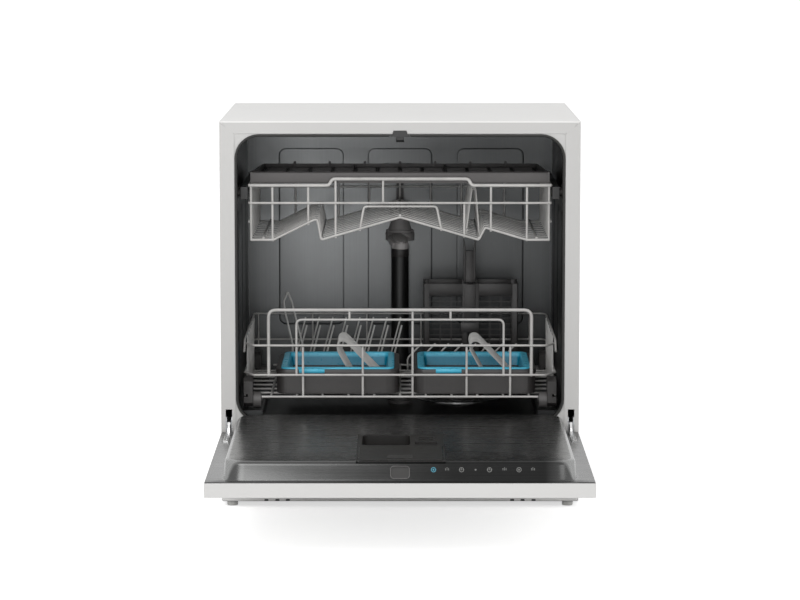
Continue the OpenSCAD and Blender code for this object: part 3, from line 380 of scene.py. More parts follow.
@dataclass(frozen=True)
class Moulded:
    """Injection-moulded plastic with a fine spark-eroded grain.

    Attributes:
        deep: Painted shade: factors for red, green and blue that darken the part's inside below the given heights.
        inner_shade_levels: The heights between which the painted shade fades out, in metres.
    """

    name: str
    colour: Point
    roughness: float = 0.45
    grain: float = 1600.0
    depth: float = 0.12
    deep: Point = (1.0, 1.0, 1.0)
    inner_shade_levels: Flat = (0.0, 1.0)

    def make(self) -> bpy.types.Material:
        """Builds the material."""
        g = Graph(self.name)
        flow = g.noise(14.0, 4.0)
        pore = g.grains(self.grain)
        dust = g.noise(120.0, 3.0)
        colour = g.ramp(0.7 * flow + 0.3 * dust, [(0.3, tint(self.colour, 0.84)), (0.7, tint(self.colour, 1.14))])
        # Painted shade: darker below the given heights, toward the bottom of the part's inside.
        if self.deep != grey(1.0):
            colour = g.toned(colour, 2, self.inner_shade_levels, [(0.0, self.deep), (1.0, grey(1.0))])
        g.set(Base_Color=colour, Roughness=self.roughness - 0.06 + 0.14 * dust)
        g.bump(pore, self.depth, 0.00012)
        return g.material


@dataclass(frozen=True)
class Polished:
    """Bright metal of pins, springs and arms."""

    name: str
    colour: Point = (0.72, 0.72, 0.72)
    roughness: float = 0.16

    def make(self) -> bpy.types.Material:
        """Builds the material."""
        g = Graph(self.name)
        swirl = g.noise(240.0, 3.0)
        cloud = g.noise(20.0, 2.0)
        colour = g.ramp(cloud, [(0.3, tint(self.colour, 0.9)), (0.7, tint(self.colour, 1.08))])
        g.set(Base_Color=colour, Metallic=1.0, Roughness=self.roughness + 0.1 * swirl)
        g.bump(swirl, 0.05, 0.0001)
        return g.material


@dataclass(frozen=True)
class Galvanised:
    """Zinc-coated sheet with its leafy spangle."""

    name: str = "galvanised_sheet"
    colour: Point = (0.46, 0.47, 0.48)

    def make(self) -> bpy.types.Material:
        """Builds the material."""
        g = Graph(self.name)
        leaf = g.grains(70.0)
        cloud = g.noise(12.0, 4.0)
        colour = g.ramp(0.6 * leaf + 0.4 * cloud, [(0.15, tint(self.colour, 0.82)), (0.6, tint(self.colour, 1.15))])
        g.set(Base_Color=colour, Metallic=0.85, Roughness=0.34 + 0.18 * leaf)
        g.bump(cloud, 0.08, 0.0002)
        return g.material


@dataclass(frozen=True)
class SoftRubber:
    """Black door seal."""

    name: str = "seal_rubber"
    colour: Point = (0.012, 0.012, 0.011)

    def make(self) -> bpy.types.Material:
        """Builds the material."""
        g = Graph(self.name)
        bloom = g.noise(30.0, 4.0)
        pore = g.grains(1900.0)
        colour = g.ramp(bloom, [(0.35, tint(self.colour, 0.8)), (0.75, tint(self.colour, 1.7))])
        g.set(Base_Color=colour, Roughness=0.5 + 0.2 * bloom)
        g.bump(pore, 0.1, 0.0001)
        return g.material


FINISHES: dict[str, Any] = {
    "enamel": Enamel(),
    # enamel_edge: grey-white enamel of the mouth frame; on the worktop's white front band it is painted shade.
    "enamel_edge": Enamel("grey_white_and_shaded_enamel", (0.535, 0.53, 0.52), 0.32),
    # Darker copies of the white enamel for the kick plate and the door's outer panel, set for how they are lit:
    # painted shade.
    "strip_enamel": Enamel("strip_enamel", (0.70, 0.695, 0.685), 0.3),
    "door_enamel": Enamel("door_enamel", (0.62, 0.615, 0.605), 0.3),
    "galvanised": Galvanised(),
    # Painted reflection and shade on the tub: a base darker than bare steel, the tones from left to right and the
    # darker foot.
    "tub_steel": BrushedSteel("tub_steel", (0.17, 0.175, 0.177), 0.34, Grain.UP, 0.2,
                              ((0.0, 0.9), (0.015, 0.9), (0.04, 1.1), (0.2, 1.4), (0.45, 1.05), (0.62, 0.7),
                               (0.8, 0.6), (0.965, 0.7), (0.985, 0.65), (1.0, 0.65)), foot=0.6),
    # Painted reflection and shade on the door liner: a base darker than bare steel, tones from left to right with
    # highlights near both corners, and the lip darker than the sheet behind it.
    "liner_steel": BrushedSteel("liner_steel", (0.13, 0.131, 0.13), 0.24, Grain.ACROSS, 0.15,
                                ((0.0, 0.6), (0.04, 0.65), (0.06, 1.5), (0.3, 1.1), (0.5, 0.55), (0.62, 0.36),
                                 (0.87, 0.34), (0.94, 1.6), (0.96, 0.5), (1.0, 0.45)), 0.275, lip=(0.5, 1.6)),
    "wire": WireCoat(),
    "bright_steel": Polished("bright_steel"),
    "grey_plastic": Moulded("grey_plastic", (0.13, 0.124, 0.122)),
    "tray_plastic": Moulded("tray_plastic", (0.078, 0.073, 0.072)),
    "basket_plastic": Moulded("basket_plastic", (0.042, 0.039, 0.038), 0.4),
    "dispenser_plastic": Moulded("dispenser_plastic", (0.014, 0.013, 0.012), 0.36),
    "printed_grey": Moulded("printed_grey", (0.14, 0.14, 0.135), 0.4),
    "printed_blue": Moulded("printed_blue", (0.05, 0.25, 0.34), 0.4),
    "dark_plastic": Moulded("dark_plastic", (0.043, 0.040, 0.039), 0.4),
    "black_plastic": Moulded("black_plastic", (0.012, 0.012, 0.012), 0.38),
    "light_plastic": Moulded("light_plastic", (0.62, 0.62, 0.60), 0.35),
    # The blue inserts' walls darken below their rim: painted shade.
    "blue_plastic": Moulded("blue_plastic", (0.085, 0.53, 0.74), 0.28, 900.0, 0.06, (0.03, 0.4, 0.46),
                            (0.2, 0.204)),
    "base_plastic": Moulded("base_plastic", (0.03, 0.03, 0.032), 0.5),
    "gasket_rubber": SoftRubber(),
    "motor": Moulded("motor_shell", (0.03, 0.03, 0.033), 0.42),
}
_made: dict[str, bpy.types.Material] = {}


def finish(name: str) -> bpy.types.Material:
    """The material of a record slot, made the first time it is asked for."""
    if name not in _made:
        _made[name] = FINISHES[name].make()
    return _made[name]


# ---------------------------------------------------------------- mesh work


class Wires:
    """Round wires, bent and welded into one piece."""

    def __init__(self, name: str, sides: int = 4) -> None:
        """Starts an empty set.

        Args:
            name: The piece's name.
            sides: Fineness of the round section.
        """
        self.name = name
        self.curve = bpy.data.curves.new(name + "_line", "CURVE")
        self.curve.dimensions = "3D"
        self.curve.bevel_depth = 0.001
        self.curve.bevel_resolution = sides
        self.curve.use_fill_caps = True

    def add(self, path: Sequence[Point], radius: float = 1.8, corner: float = 0.0, closed: bool = False,
            steps: int = 4) -> "Wires":
        """Adds one wire.

        Args:
            path: Points in cabinet millimetres.
            radius: The wire's radius in millimetres.
            corner: How far from a corner its bend begins.
            closed: Whether the wire is a ring.
            steps: Edges in each bend.

        Returns:
            The set itself.
        """
        points = bend(path, corner, steps) if corner and len(path) > 2 else [Vector(p) for p in path]
        spline = self.curve.splines.new("POLY")
        spline.points.add(len(points) - 1)
        for p, place in zip(spline.points, points):
            p.co = (*at(*place), 1.0)
            p.radius = radius
        spline.use_cyclic_u = closed
        return self

    def weld(self, slot: str, body: str, replaces: Iterable[str] = ()) -> bpy.types.Object:
        """Turns the set into a mesh piece that rides on a body.

        Args:
            slot: The record's material slot.
            body: The body it rides on.
            replaces: Solid nodes that it stands for.

        Returns:
            The finished object.
        """
        line = bpy.data.objects.new(self.name + "_line", self.curve)
        bpy.context.scene.collection.objects.link(line)
        graph = bpy.context.evaluated_depsgraph_get()
        mesh = bpy.data.meshes.new_from_object(line.evaluated_get(graph))
        bpy.data.objects.remove(line)
        mesh.name = self.name
        for face in mesh.polygons:
            face.use_smooth = True
        mesh.set_sharp_from_angle(angle=math.radians(50))
        return settle(mesh, self.name, slot, body, replaces)


def settle(mesh: bpy.types.Mesh, name: str, slot: str, body: str, replaces: Iterable[str] = (),
           look: str = "") -> bpy.types.Object:
    """Makes a finished mesh into a piece of the machine.

    Args:
        mesh: The mesh, already in the row frame.
        name: The piece's name.
        slot: The record's material slot, which also gives the finish.
        body: The body it rides on.
        replaces: Solid nodes that it stands for.
        look: A finish of its own, where it isn't the slot's.

    Returns:
        The object.
    """
    obj = bpy.data.objects.new(name, mesh)
    bpy.context.scene.collection.objects.link(obj)
    mesh.materials.clear()
    mesh.materials.append(finish(look or slot))
    nodes = list(replaces)
    if nodes:
        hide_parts(*nodes)
    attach(obj, body)
    log.info("%s: %d faces on %s", name, len(mesh.polygons), body)
    return obj


class Form:
    """A mesh under construction, in cabinet millimetres."""

    def __init__(self, name: str) -> None:
        """Starts an empty mesh."""
        self.name = name
        self.bm = bmesh.new()

    def _round(self, edges: list[bmesh.types.BMEdge], width: float) -> None:
        """Rounds edges to a width in millimetres."""
        bmesh.ops.bevel(self.bm, geom=edges, offset=width, offset_type="OFFSET", segments=2, profile=0.5,
                        affect="EDGES", clamp_overlap=True, material=-1)

    def block(self, low: Point, high: Point, edge: float = 0.0) -> None:
        """Adds a block between two corners, with rounded edges if asked.

        Args:
            low: The lowest corner.
            high: The highest corner.
            edge: Width of the rounding.
        """
        centre = (Vector(low) + Vector(high)) / 2
        size = Vector(high) - Vector(low)
        shape = Matrix.Translation(centre) @ Matrix.Diagonal((*size, 1.0))
        made = bmesh.ops.create_cube(self.bm, size=1.0, matrix=shape)
        if edge:
            self._round(list({e for v in made["verts"] for e in v.link_edges}), edge)

    def slab(self, outline: Sequence[Point], move: Point, edge: float = 0.0) -> None:
        """Pushes a flat outline into a solid.

        Args:
            outline: Points of one end face, in order.
            move: How far and which way the face is pushed.
            edge: Width of the rounding round the end faces.
        """
        verts = [self.bm.verts.new(p) for p in outline]
        first = self.bm.faces.new(verts)
        made = bmesh.ops.extrude_face_region(self.bm, geom=[first], use_keep_orig=True)
        moved = [g for g in made["geom"] if isinstance(g, bmesh.types.BMVert)]
        last = next(g for g in made["geom"] if isinstance(g, bmesh.types.BMFace))
        bmesh.ops.translate(self.bm, vec=Vector(move), verts=moved)
        if edge:
            self._round([*first.edges, *last.edges], edge)

    def revolve(self, profile: Sequence[Flat], centre: Point, axis: Point = (0, 0, 1), steps: int = 40) -> None:
        """Spins a profile of (radius, height) points about an axis.

        Args:
            profile: The profile; it closes on itself when first and last are equal.
            centre: A point on the axis at height 0.
            axis: The way the height grows.
            steps: Number of faces round.
        """
        turn = Vector((0, 0, 1)).rotation_difference(Vector(axis)).to_matrix().to_4x4()
        frame_at = Matrix.Translation(Vector(centre)) @ turn
        verts = [self.bm.verts.new(frame_at @ Vector((r, 0, h))) for r, h in profile]
        edges = [self.bm.edges.new((a, b)) for a, b in zip(verts, verts[1:])]
        bmesh.ops.spin(self.bm, geom=verts + edges, cent=Vector(centre), axis=Vector(axis), angle=math.tau,
                       steps=steps, use_merge=True, use_duplicate=False)

    def loft(self, loops: Sequence[Sequence[Point]], caps: tuple[bool, bool] = (False, False)) -> None:
        """Draws a skin through a row of equal loops, by extruding each one into the next.

        Args:
            loops: Loops with the same number of points.
            caps: Whether the first and the last loop are closed.
        """
        verts = [self.bm.verts.new(p) for p in loops[0]]
        ring = [self.bm.edges.new((a, b)) for a, b in zip(verts, verts[1:] + verts[:1])]
        if caps[0]:
            bmesh.ops.contextual_create(self.bm, geom=ring)
        for loop in loops[1:]:
            made = bmesh.ops.extrude_edge_only(self.bm, edges=ring)
            fresh = {g for g in made["geom"] if isinstance(g, bmesh.types.BMVert)}
            verts = [next(e.other_vert(v) for e in v.link_edges if e.other_vert(v) in fresh) for v in verts]
            for v, place in zip(verts, loop):
                v.co = place
            ring = [self.bm.edges.get((a, b)) for a, b in zip(verts, verts[1:] + verts[:1])]
        if caps[1]:
            bmesh.ops.contextual_create(self.bm, geom=ring)

    def finish(self, slot: str, body: str, replaces: Iterable[str] = (), angle: float = 35.0,
               inward: bool = False, look: str = "") -> bpy.types.Object:
        """Turns the form into a piece.

        Args:
            slot: The record's material slot.
            body: The body it rides on.
            replaces: Solid nodes that it stands for.
            angle: Edges sharper than this stay crisp.
            inward: Whether the sheet is seen from inside, as a tub is.
            look: A finish of its own, where it isn't the slot's.

        Returns:
            The object.
        """
        bm = self.bm
        bmesh.ops.remove_doubles(bm, verts=bm.verts, dist=MERGE)
        bmesh.ops.recalc_face_normals(bm, faces=bm.faces)
        if inward:
            bmesh.ops.reverse_faces(bm, faces=bm.faces[:])
        to_row = Matrix.Diagonal((0.001, 0.001, 0.001, 1.0)) @ Matrix.Translation((0, FRONT_Y, 0))
        bmesh.ops.transform(bm, matrix=to_row, verts=bm.verts)
        mesh = bpy.data.meshes.new(self.name)
        bm.to_mesh(mesh)
        bm.free()
        for face in mesh.polygons:
            face.use_smooth = True
        mesh.set_sharp_from_angle(angle=math.radians(angle))
        return settle(mesh, self.name, slot, body, replaces, look)


# ---------------------------------------------------------------- stage


@dataclass
class PhotoCamera:
    """The camera at the photograph's place."""

    place: Point = (0.0, -4.7749, 0.9055)
    pitch: float = 7.010
    lens: float = 140.8

    def build(self) -> None:
        """Creates the camera and makes it the scene's own."""
        data = bpy.data.cameras.new("photo_camera")
        data.lens = self.lens
        data.sensor_width = 36.0
        data.clip_end = 200.0
        obj = bpy.data.objects.new("photo_camera", data)
        obj.location = self.place
        obj.rotation_euler = (math.radians(90 - self.pitch), 0, 0)
        bpy.context.scene.collection.objects.link(obj)
        bpy.context.scene.camera = obj


@dataclass
class Studio:
    """Pale floor, white surroundings and soft lamps."""

    floor_size: float = 90.0
    sky: float = 0.62
    glow: float = 0.62
    aim: Point = (0.0, 0.0, 0.3)
    lamps: tuple[tuple[str, Point, float, float], ...] = (
        ("key_lamp", (-1.05, -2.3, 2.4), 1.8, 34.0),
        ("fill_lamp", (2.1, -2.4, 1.5), 1.6, 12.0),
        ("front_lamp", (-0.4, -4.4, 0.95), 1.6, 16.5),
    )

    def build(self) -> None:
        """Creates world, floor and lamps."""
        scene = bpy.context.scene
        scene.view_settings.view_transform = "Standard"
        world = bpy.data.worlds.new("white_room")
        world.use_nodes = True
        scene.world = world
        tree = world.node_tree
        tree.nodes.clear()
        path = tree.nodes.new("ShaderNodeLightPath")
        seen = path.outputs["Is Camera Ray"]
        for ray in ("Is Glossy Ray", "Is Transmission Ray"):
            either = tree.nodes.new("ShaderNodeMath")
            either.operation = "MAXIMUM"
            tree.links.new(seen, either.inputs[0])
            tree.links.new(path.outputs[ray], either.inputs[1])
            seen = either.outputs[0]
        mix = tree.nodes.new("ShaderNodeMixShader")
        tree.links.new(seen, mix.inputs[0])
        for socket, strength in ((mix.inputs[1], self.sky), (mix.inputs[2], 1.0)):
            white = tree.nodes.new("ShaderNodeBackground")
            white.inputs["Color"].default_value = (1, 1, 1, 1)
            white.inputs["Strength"].default_value = strength
            tree.links.new(white.outputs[0], socket)
        out = tree.nodes.new("ShaderNodeOutputWorld")
        tree.links.new(mix.outputs[0], out.inputs[0])
        self._floor()
        for name, place, size, power in self.lamps:
            data = bpy.data.lights.new(name, "AREA")
            data.shape = "DISK"
            data.size = size
            data.energy = power
            lamp = bpy.data.objects.new(name, data)
            lamp.location = place
            lamp.rotation_euler = (Vector(self.aim) - Vector(place)).to_track_quat("-Z", "Y").to_euler()
            scene.collection.objects.link(lamp)

    def _floor(self) -> None:
        """Creates the floor, which stays white in the picture and keeps the shadow."""
        bm = bmesh.new()
        bmesh.ops.create_grid(bm, x_segments=1, y_segments=1, size=self.floor_size / 2)
        mesh = bpy.data.meshes.new("studio_floor")
        bm.to_mesh(mesh)
        bm.free()
        g = Graph("studio_floor")
        g.set(Base_Color=(0.93, 0.93, 0.93), Roughness=0.85, Specular_IOR_Level=0.0)
        path = g.node("ShaderNodeLightPath")
        seen = Value(g, path.outputs["Is Camera Ray"]) + Value(g, path.outputs["Is Glossy Ray"])
        g.put(g.shader.inputs["Emission Color"], (1, 1, 1))
        g.put(g.shader.inputs["Emission Strength"], seen * self.glow)
        mesh.materials.append(g.material)
        floor = bpy.data.objects.new("studio_floor", mesh)
        bpy.context.scene.collection.objects.link(floor)


# ---------------------------------------------------------------- solids kept from the frame


@dataclass
class Solids:
    """The solids that show as they are, each with its finish and softened edges."""

    softened: dict[str, float] = field(default_factory=lambda: {
        "worktop": 0.6, "left_side_panel": 0.5, "right_side_panel": 0.5, "door_outer_panel": 0.6, "kick_plate": 0.5,
        "wash_boxes": 0.8, "dispenser_body": 0.6, "detergent_cover": 0.4, "rinse_cap": 0.5,
        "feed_pipe": 0.4, "docking_funnel": 0.5, "upper_spray_arm": 0.8, "lower_spray_arm": 0.8, "salt_cap": 0.6,
        "filter_cup": 0.5, "hinge_arms": 0.4, "wheel_carriers": 0.6, "upper_rack_rails": 0.3, "latch_housing": 0.4,
        "feet": 0.5, "hinge_brackets": 0.4, "base_tray": 0.6, "inlet_valve": 0.6, "latch_tongue": 0.5,
    })

    own_look: dict[str, str] = field(default_factory=lambda: {
        # The door's and the kick plate's enamel copies are painted shade on the white enamel.
        "door_outer_panel": "door_enamel", "kick_plate": "strip_enamel", "upper_rack_rails": "black_plastic",
        "docking_funnel": "basket_plastic", "dispenser_body": "dispenser_plastic",
        "detergent_cover": "dispenser_plastic", "rinse_cap": "dispenser_plastic",
    })

    def build(self) -> None:
        """Gives every solid its record slot's finish, or its own."""
        for part in frame["record"]["subparts"]:
            name = part["node"]
            obj = frame["nodes"][name]
            obj.data.materials.clear()
            obj.data.materials.append(finish(self.own_look.get(name, part["material_slot"])))
            if name in self.softened:
                weld = obj.modifiers.new("weld", "WELD")
                weld.merge_threshold = 0.00001
                edge = obj.modifiers.new("soft_edges", "BEVEL")
                edge.width = self.softened[name] / 1000
                edge.segments = 2
                edge.limit_method = "ANGLE"
                edge.angle_limit = math.radians(40)
                edge.use_clamp_overlap = True


# ---------------------------------------------------------------- cabinet


@dataclass
class Tub:
    """The pressed steel tub, with its mouth frame and wheel tracks."""

    half: float = 252.0
    floor: float = 131.0
    top: float = 575.0
    back: float = 415.0
    corner: float = 37.0
    sump: Flat = (95.0, 262.0)
    hole: float = 59.0
    latch: float = 16.0
    fields: tuple[Flat, ...] = ((-147.0, 108.0), (0.0, 107.0), (149.5, 111.0))

    def build(self) -> None:
        """Creates shell, wheel tracks, mouth frame and the seal's lip."""
        self._shell()
        self._tracks()
        self._frame()
        self._seal()

    def _outline(self, grow: float = 0.0) -> list[Flat]:
        """The mouth's outline as (x, z) points."""
        middle = (self.floor + self.top) / 2
        return [(x, z + middle) for x, z in rounded_outline(2 * (self.half + grow), self.top - self.floor + 2 * grow,
                                                              self.corner + grow, 10)]

    def _shell(self) -> None:
        """Walls, floor with the sump's hole, back wall and everything pressed into them."""
        form = Form("tub_shell")
        bm = form.bm
        ring = self._outline()
        near = [bm.verts.new((x, 1.2, z)) for x, z in ring]
        far = [bm.verts.new((x, self.back, z)) for x, z in ring]
        floor_ends: list[tuple[Any, Any]] = []
        count = len(ring)
        for i in range(count):
            j = (i + 1) % count
            if abs(ring[i][1] - self.floor) < 0.01 and abs(ring[j][1] - self.floor) < 0.01:
                floor_ends = [(near[i], near[j]), (near[j], far[j]), (far[j], far[i]), (far[i], near[i])]
                continue
            bm.faces.new((near[i], near[j], far[j], far[i]))
        bm.faces.new(far)
        edges = []
        for a, b in floor_ends:
            edges.append(bm.edges.get((a, b)) or bm.edges.new((a, b)))
        hole = [bm.verts.new((self.sump[0] + self.hole * math.cos(math.tau * k / 48),
                              self.sump[1] + self.hole * math.sin(math.tau * k / 48), self.floor)) for k in range(48)]
        edges += [bm.edges.new((a, b)) for a, b in zip(hole, hole[1:] + hole[:1])]
        bmesh.ops.triangle_fill(bm, use_beauty=True, use_dissolve=False, edges=edges)
        for x, wide in self.fields:
            self._pressing(form, lambda u, v, d, x=x: (x + u, self.back - d, 376 + v), wide, 294, 12)
        for side in (-1, 1):
            for y in (95, 215, 335):
                self._pressing(form, lambda u, v, d, s=side, y=y: (s * (self.half - d), y + u, 330 + v), 10, 240, 4.5)
        form.finish("tub_steel", "cabinet", ["tub"], angle=30, inward=True)

    def _tracks(self) -> None:
        """The bent tracks that the lower rack's wheels run on, each closed by a web at its front."""
        tracks = Form("wheel_tracks")
        profile = [(242.7, 145.0), (214.2, 145.0), (212.6, 144.4), (212.0, 142.8), (212.0, 131.0), (213.0, 131.0),
                   (213.0, 142.6), (214.4, 144.0), (242.7, 144.0)]
        end = [(212.0, 131.0), (214.5, 131.0), (215.0, 131.7), (224.4, 132.9), (233.2, 136.6), (240.5, 142.3),
               (242.3, 144.4), (212.2, 144.4)]
        for side in (-1, 1):
            tracks.slab([(side * x, 32, z) for x, z in profile], (0, 382.9, 0))
            tracks.slab([(side * x, 32, z) for x, z in end], (0, 1, 0))
        tracks.finish("tub_steel", "cabinet", ["wheel_tracks"])

    def _pressing(self, form: Form, place: Place, wide: float, high: float, radius: float) -> None:
        """A rounded bead pressed out of a wall, drawn by insets of one outline.

        Args:
            form: The form it is added to.
            place: Turns the bead's own (across, up, deep) into a point.
            wide: Width over the bead.
            high: Height over the bead.
            radius: Corner radius.
        """
        loops = []
        for inset, depth in ((0.0, 0.02), (1.0, 0.55), (2.0, 0.75), (min(3.4, wide / 2 - 0.5), 0.8)):
            outline = rounded_outline(wide - 2 * inset, high - 2 * inset, max(0.4, radius - inset), 5)
            loops.append([place(u, v, depth) for u, v in outline])
        form.loft(loops, (False, True))

    def _frame(self) -> None:
        """Grey-white frame around the mouth, behind the flanges."""
        form = Form("tub_mouth_frame")
        outer = [(x, z + 334.9) for x, z in rounded_outline(511, 481.8, 1.0, 10)]
        inner = self._outline()
        loops = [[(x, y, z) for x, z in ring] for ring, y in ((outer, 1.3), (inner, 1.3), (inner, 2.1), (outer, 2.1),
                                                              (outer, 1.3))]
        form.loft(loops)
        form.finish("enamel_edge", "cabinet")

    def _seal(self) -> None:
        """The seal's soft inner lip, open under the latch."""
        form = Form("seal_lip")
        bm = form.bm
        rings = ((-0.1, 0.6), (-3.4, 0.4), (-4.2, 1.4), (-4.2, 3.4), (-3.4, 4.4), (-0.1, 4.4), (-0.1, 0.6))
        form.loft([[(x, y, z) for x, z in self._outline(grow)] for grow, y in rings])
        for side in (-1, 1):
            bmesh.ops.bisect_plane(bm, geom=[*bm.verts, *bm.edges, *bm.faces], plane_co=(side * self.latch, 0, 0),
                                   plane_no=(1, 0, 0))
        gap = [f for f in bm.faces if abs(f.calc_center_median().x) < self.latch and f.calc_center_median().z > 400]
        bmesh.ops.delete(bm, geom=gap, context="FACES")
        bmesh.ops.holes_fill(bm, edges=[e for e in bm.edges if len(e.link_faces) == 1], sides=0)
        form.finish("gasket_rubber", "cabinet", angle=40)


@dataclass
class Trim:
    """Small fittings that the solids show in one colour with a larger piece."""

    half: float = 275.0
    band: float = 576.0
    top: float = 592.6

    def build(self) -> None:
        """Creates the worktop's front band and the docking bracket's cover."""
        fascia = Form("worktop_front_band")
        outline = [(-self.half + 3.2, self.top), (self.half - 3.2, self.top), (self.half - 19, self.band + 0.8),
                   (-self.half + 19, self.band + 0.8)]
        fascia.slab([(x, -0.15, z) for x, z in outline], (0, 0.1, 0))
        # The band is the worktop's white enamel; the darker enamel_edge here is painted shade.
        fascia.finish("enamel", "cabinet", look="enamel_edge")
        cover = Form("docking_bracket_cover")
        cover.block((-25.8, 404.3, 483.7), (25.8, 413.9, 497.3), 1.2)
        cover.finish("grey_plastic", "cabinet", look="black_plastic")


@dataclass
class Springs:
    """The coil springs that balance the door."""

    middle: Point = (263.0, 52.0, 80.0)
    radius: float = 6.5
    length: float = 90.0
    turns: int = 22
    steps: int = 14

    def build(self) -> None:
        """Creates both springs."""
        wires = Wires("balance_springs", 3)
        x, y, z = self.middle
        count = self.turns * self.steps
        for side in (-1, 1):
            path = []
            for k in range(count + 1):
                a = math.tau * k / self.steps
                path.append((side * (x + self.radius * math.cos(a)), y + self.length * k / count,
                             z + self.radius * math.sin(a)))
            wires.add(path, 1.1)
        wires.weld("bright_steel", "cabinet", ["hinge_springs"])


# ---------------------------------------------------------------- door


@dataclass
class DoorLiner:
    """The deep-drawn inner sheet of the door, with the latch slot and the printed marks."""

    z: float = 117.0
    rise: float = 28.0
    low_y: float = -432.0
    high_y: float = -422.0
    far: float = -4.0
    round_r: float = 6.0
    marks_up: float = 16.5
    marks_x: tuple[float, ...] = (47.0, 66.0, 86.3, 106.0, 125.6, 146.6, 167.0, 186.5)

    @property
    def slope(self) -> float:
        """How far the lip leans back for each millimetre up."""
        return (self.high_y - self.low_y) / self.rise

    def _on_lip(self, x: float, up: float, depth: float = 0.0) -> Point:
        """A point on the lip's face, or behind it.

        Args:
            x: Millimetres from the centre line.
            up: Height over the lip's foot.
            depth: How far behind the face.

        Returns:
            The point.
        """
        return (x, self.low_y + self.slope * up + depth, self.z + up)

    def build(self) -> None:
        """Creates liner, latch slot and marks."""
        self._sheet()
        self._keeper()
        self._marks()

    def _ring(self, up: float, inset: float, radius: float = 30.0) -> list[Point]:
        """The dome's outline at a height above its foot, made smaller by an inset."""
        t = min(1.0, max(0.0, up / self.rise))
        near = self.low_y + (self.high_y - self.low_y) * t + inset
        far = self.far - inset
        half = 248.6 - 1.2 * t - inset
        return [(x, y + (near + far) / 2, self.z + up)
                for x, y in rounded_outline(2 * half, far - near, max(1.0, radius - inset), 8)]

    def _sheet(self) -> None:
        """Margin, lip, rounded crown and top with the dispenser's cut-out."""
        form = Form("door_liner_sheet")
        bm = form.bm
        margin = [(x, y - 219.0, self.z) for x, y in rounded_outline(547.0, 431.0, 2.0, 8)]
        hem = [(x, y, z - 1.1) for x, y, z in margin]
        crown = [self._ring(self.rise - self.round_r + self.round_r * math.sin(math.radians(15 * k)),
                            self.round_r * (1 - math.cos(math.radians(15 * k)))) for k in range(7)]
        loops = [hem, margin, self._ring(0, -2.4), self._ring(0.7, -0.7), self._ring(3, 0), *crown]
        form.loft(loops)
        bm.faces.ensure_lookup_table()
        low, high = self.z + 3, self.z + self.rise - self.round_r
        lip = min((f for f in bm.faces if abs(f.calc_center_median().x) < 5
                   and low < f.calc_center_median().z < high), key=lambda f: f.calc_center_median().y)
        rim = list(lip.edges)
        bmesh.ops.delete(bm, geom=[lip], context="FACES_ONLY")
        slot = [self._on_lip(x, 13 + v) for x, v in rounded_outline(26, 16, 4, 6)]
        verts = [bm.verts.new(p) for p in slot]
        rim += [bm.edges.new((a, b)) for a, b in zip(verts, verts[1:] + verts[:1])]
        bmesh.ops.triangle_fill(bm, use_beauty=True, use_dissolve=False, edges=rim)
        crest = self.z + self.rise - 0.01
        top = [e for e in bm.edges if len(e.link_faces) == 1 and all(v.co.z > crest for v in e.verts)]
        corners = [(-60, -300), (60, -300), (60, -198), (-60, -198)]
        cup = [bm.verts.new((x, y, self.z + self.rise)) for x, y in corners]
        top += [bm.edges.new((a, b)) for a, b in zip(cup, cup[1:] + cup[:1])]
        bmesh.ops.triangle_fill(bm, use_beauty=True, use_dissolve=False, edges=top)
        form.finish("liner_steel", "door", ["door_liner"], angle=40)

    def _keeper(self) -> None:
        """The dark plate behind the latch slot and the pressed ring round it."""
        plate = Form("latch_keeper")
        plate.slab([self._on_lip(x, 13 + v, 2.0) for x, v in rounded_outline(27, 17, 4, 6)], (0, 1.2, 0))
        plate.finish("dark_plastic", "door", look="dispenser_plastic")
        ring = Wires("latch_slot_ring", 2)
        ring.add([self._on_lip(x, 13 + v, 0.1) for x, v in rounded_outline(26.4, 16.4, 4.2, 6)], 0.45, closed=True)
        ring.weld("grey_plastic", "door")

    def _marks(self) -> None:
        """Eight plain pictograms printed on the lip: drops, rings, bars and dots."""
        tilt = Vector((0, -1, self.slope)).normalized()
        for index, x in enumerate(self.marks_x):
            form = Form(f"lip_mark_{index + 1}")
            centre = self._on_lip(x, self.marks_up)
            _, y, z = centre
            if index % 2 == 0:
                form.revolve([(2.6, 0.02), (2.6, 0.12), (3.6, 0.12), (3.6, 0.02)], centre, tuple(tilt), 24)
            if index % 3 != 0:
                for k in (-1, 0, 1):
                    u = x + 2.2 * k
                    form.block((u - 0.5, y - 0.3, z - 3.4), (u + 0.5, y + 0.02, z + 3.4 - abs(k)))
            if index % 3 == 0:
                form.revolve([(0.0, 0.14), (1.3, 0.12), (1.4, 0.02)], centre, tuple(tilt), 16)
            form.finish("blue_plastic" if index == 0 else "grey_plastic", "door",
                        look="printed_blue" if index == 0 else "printed_grey")


# ---------------------------------------------------------------- racks


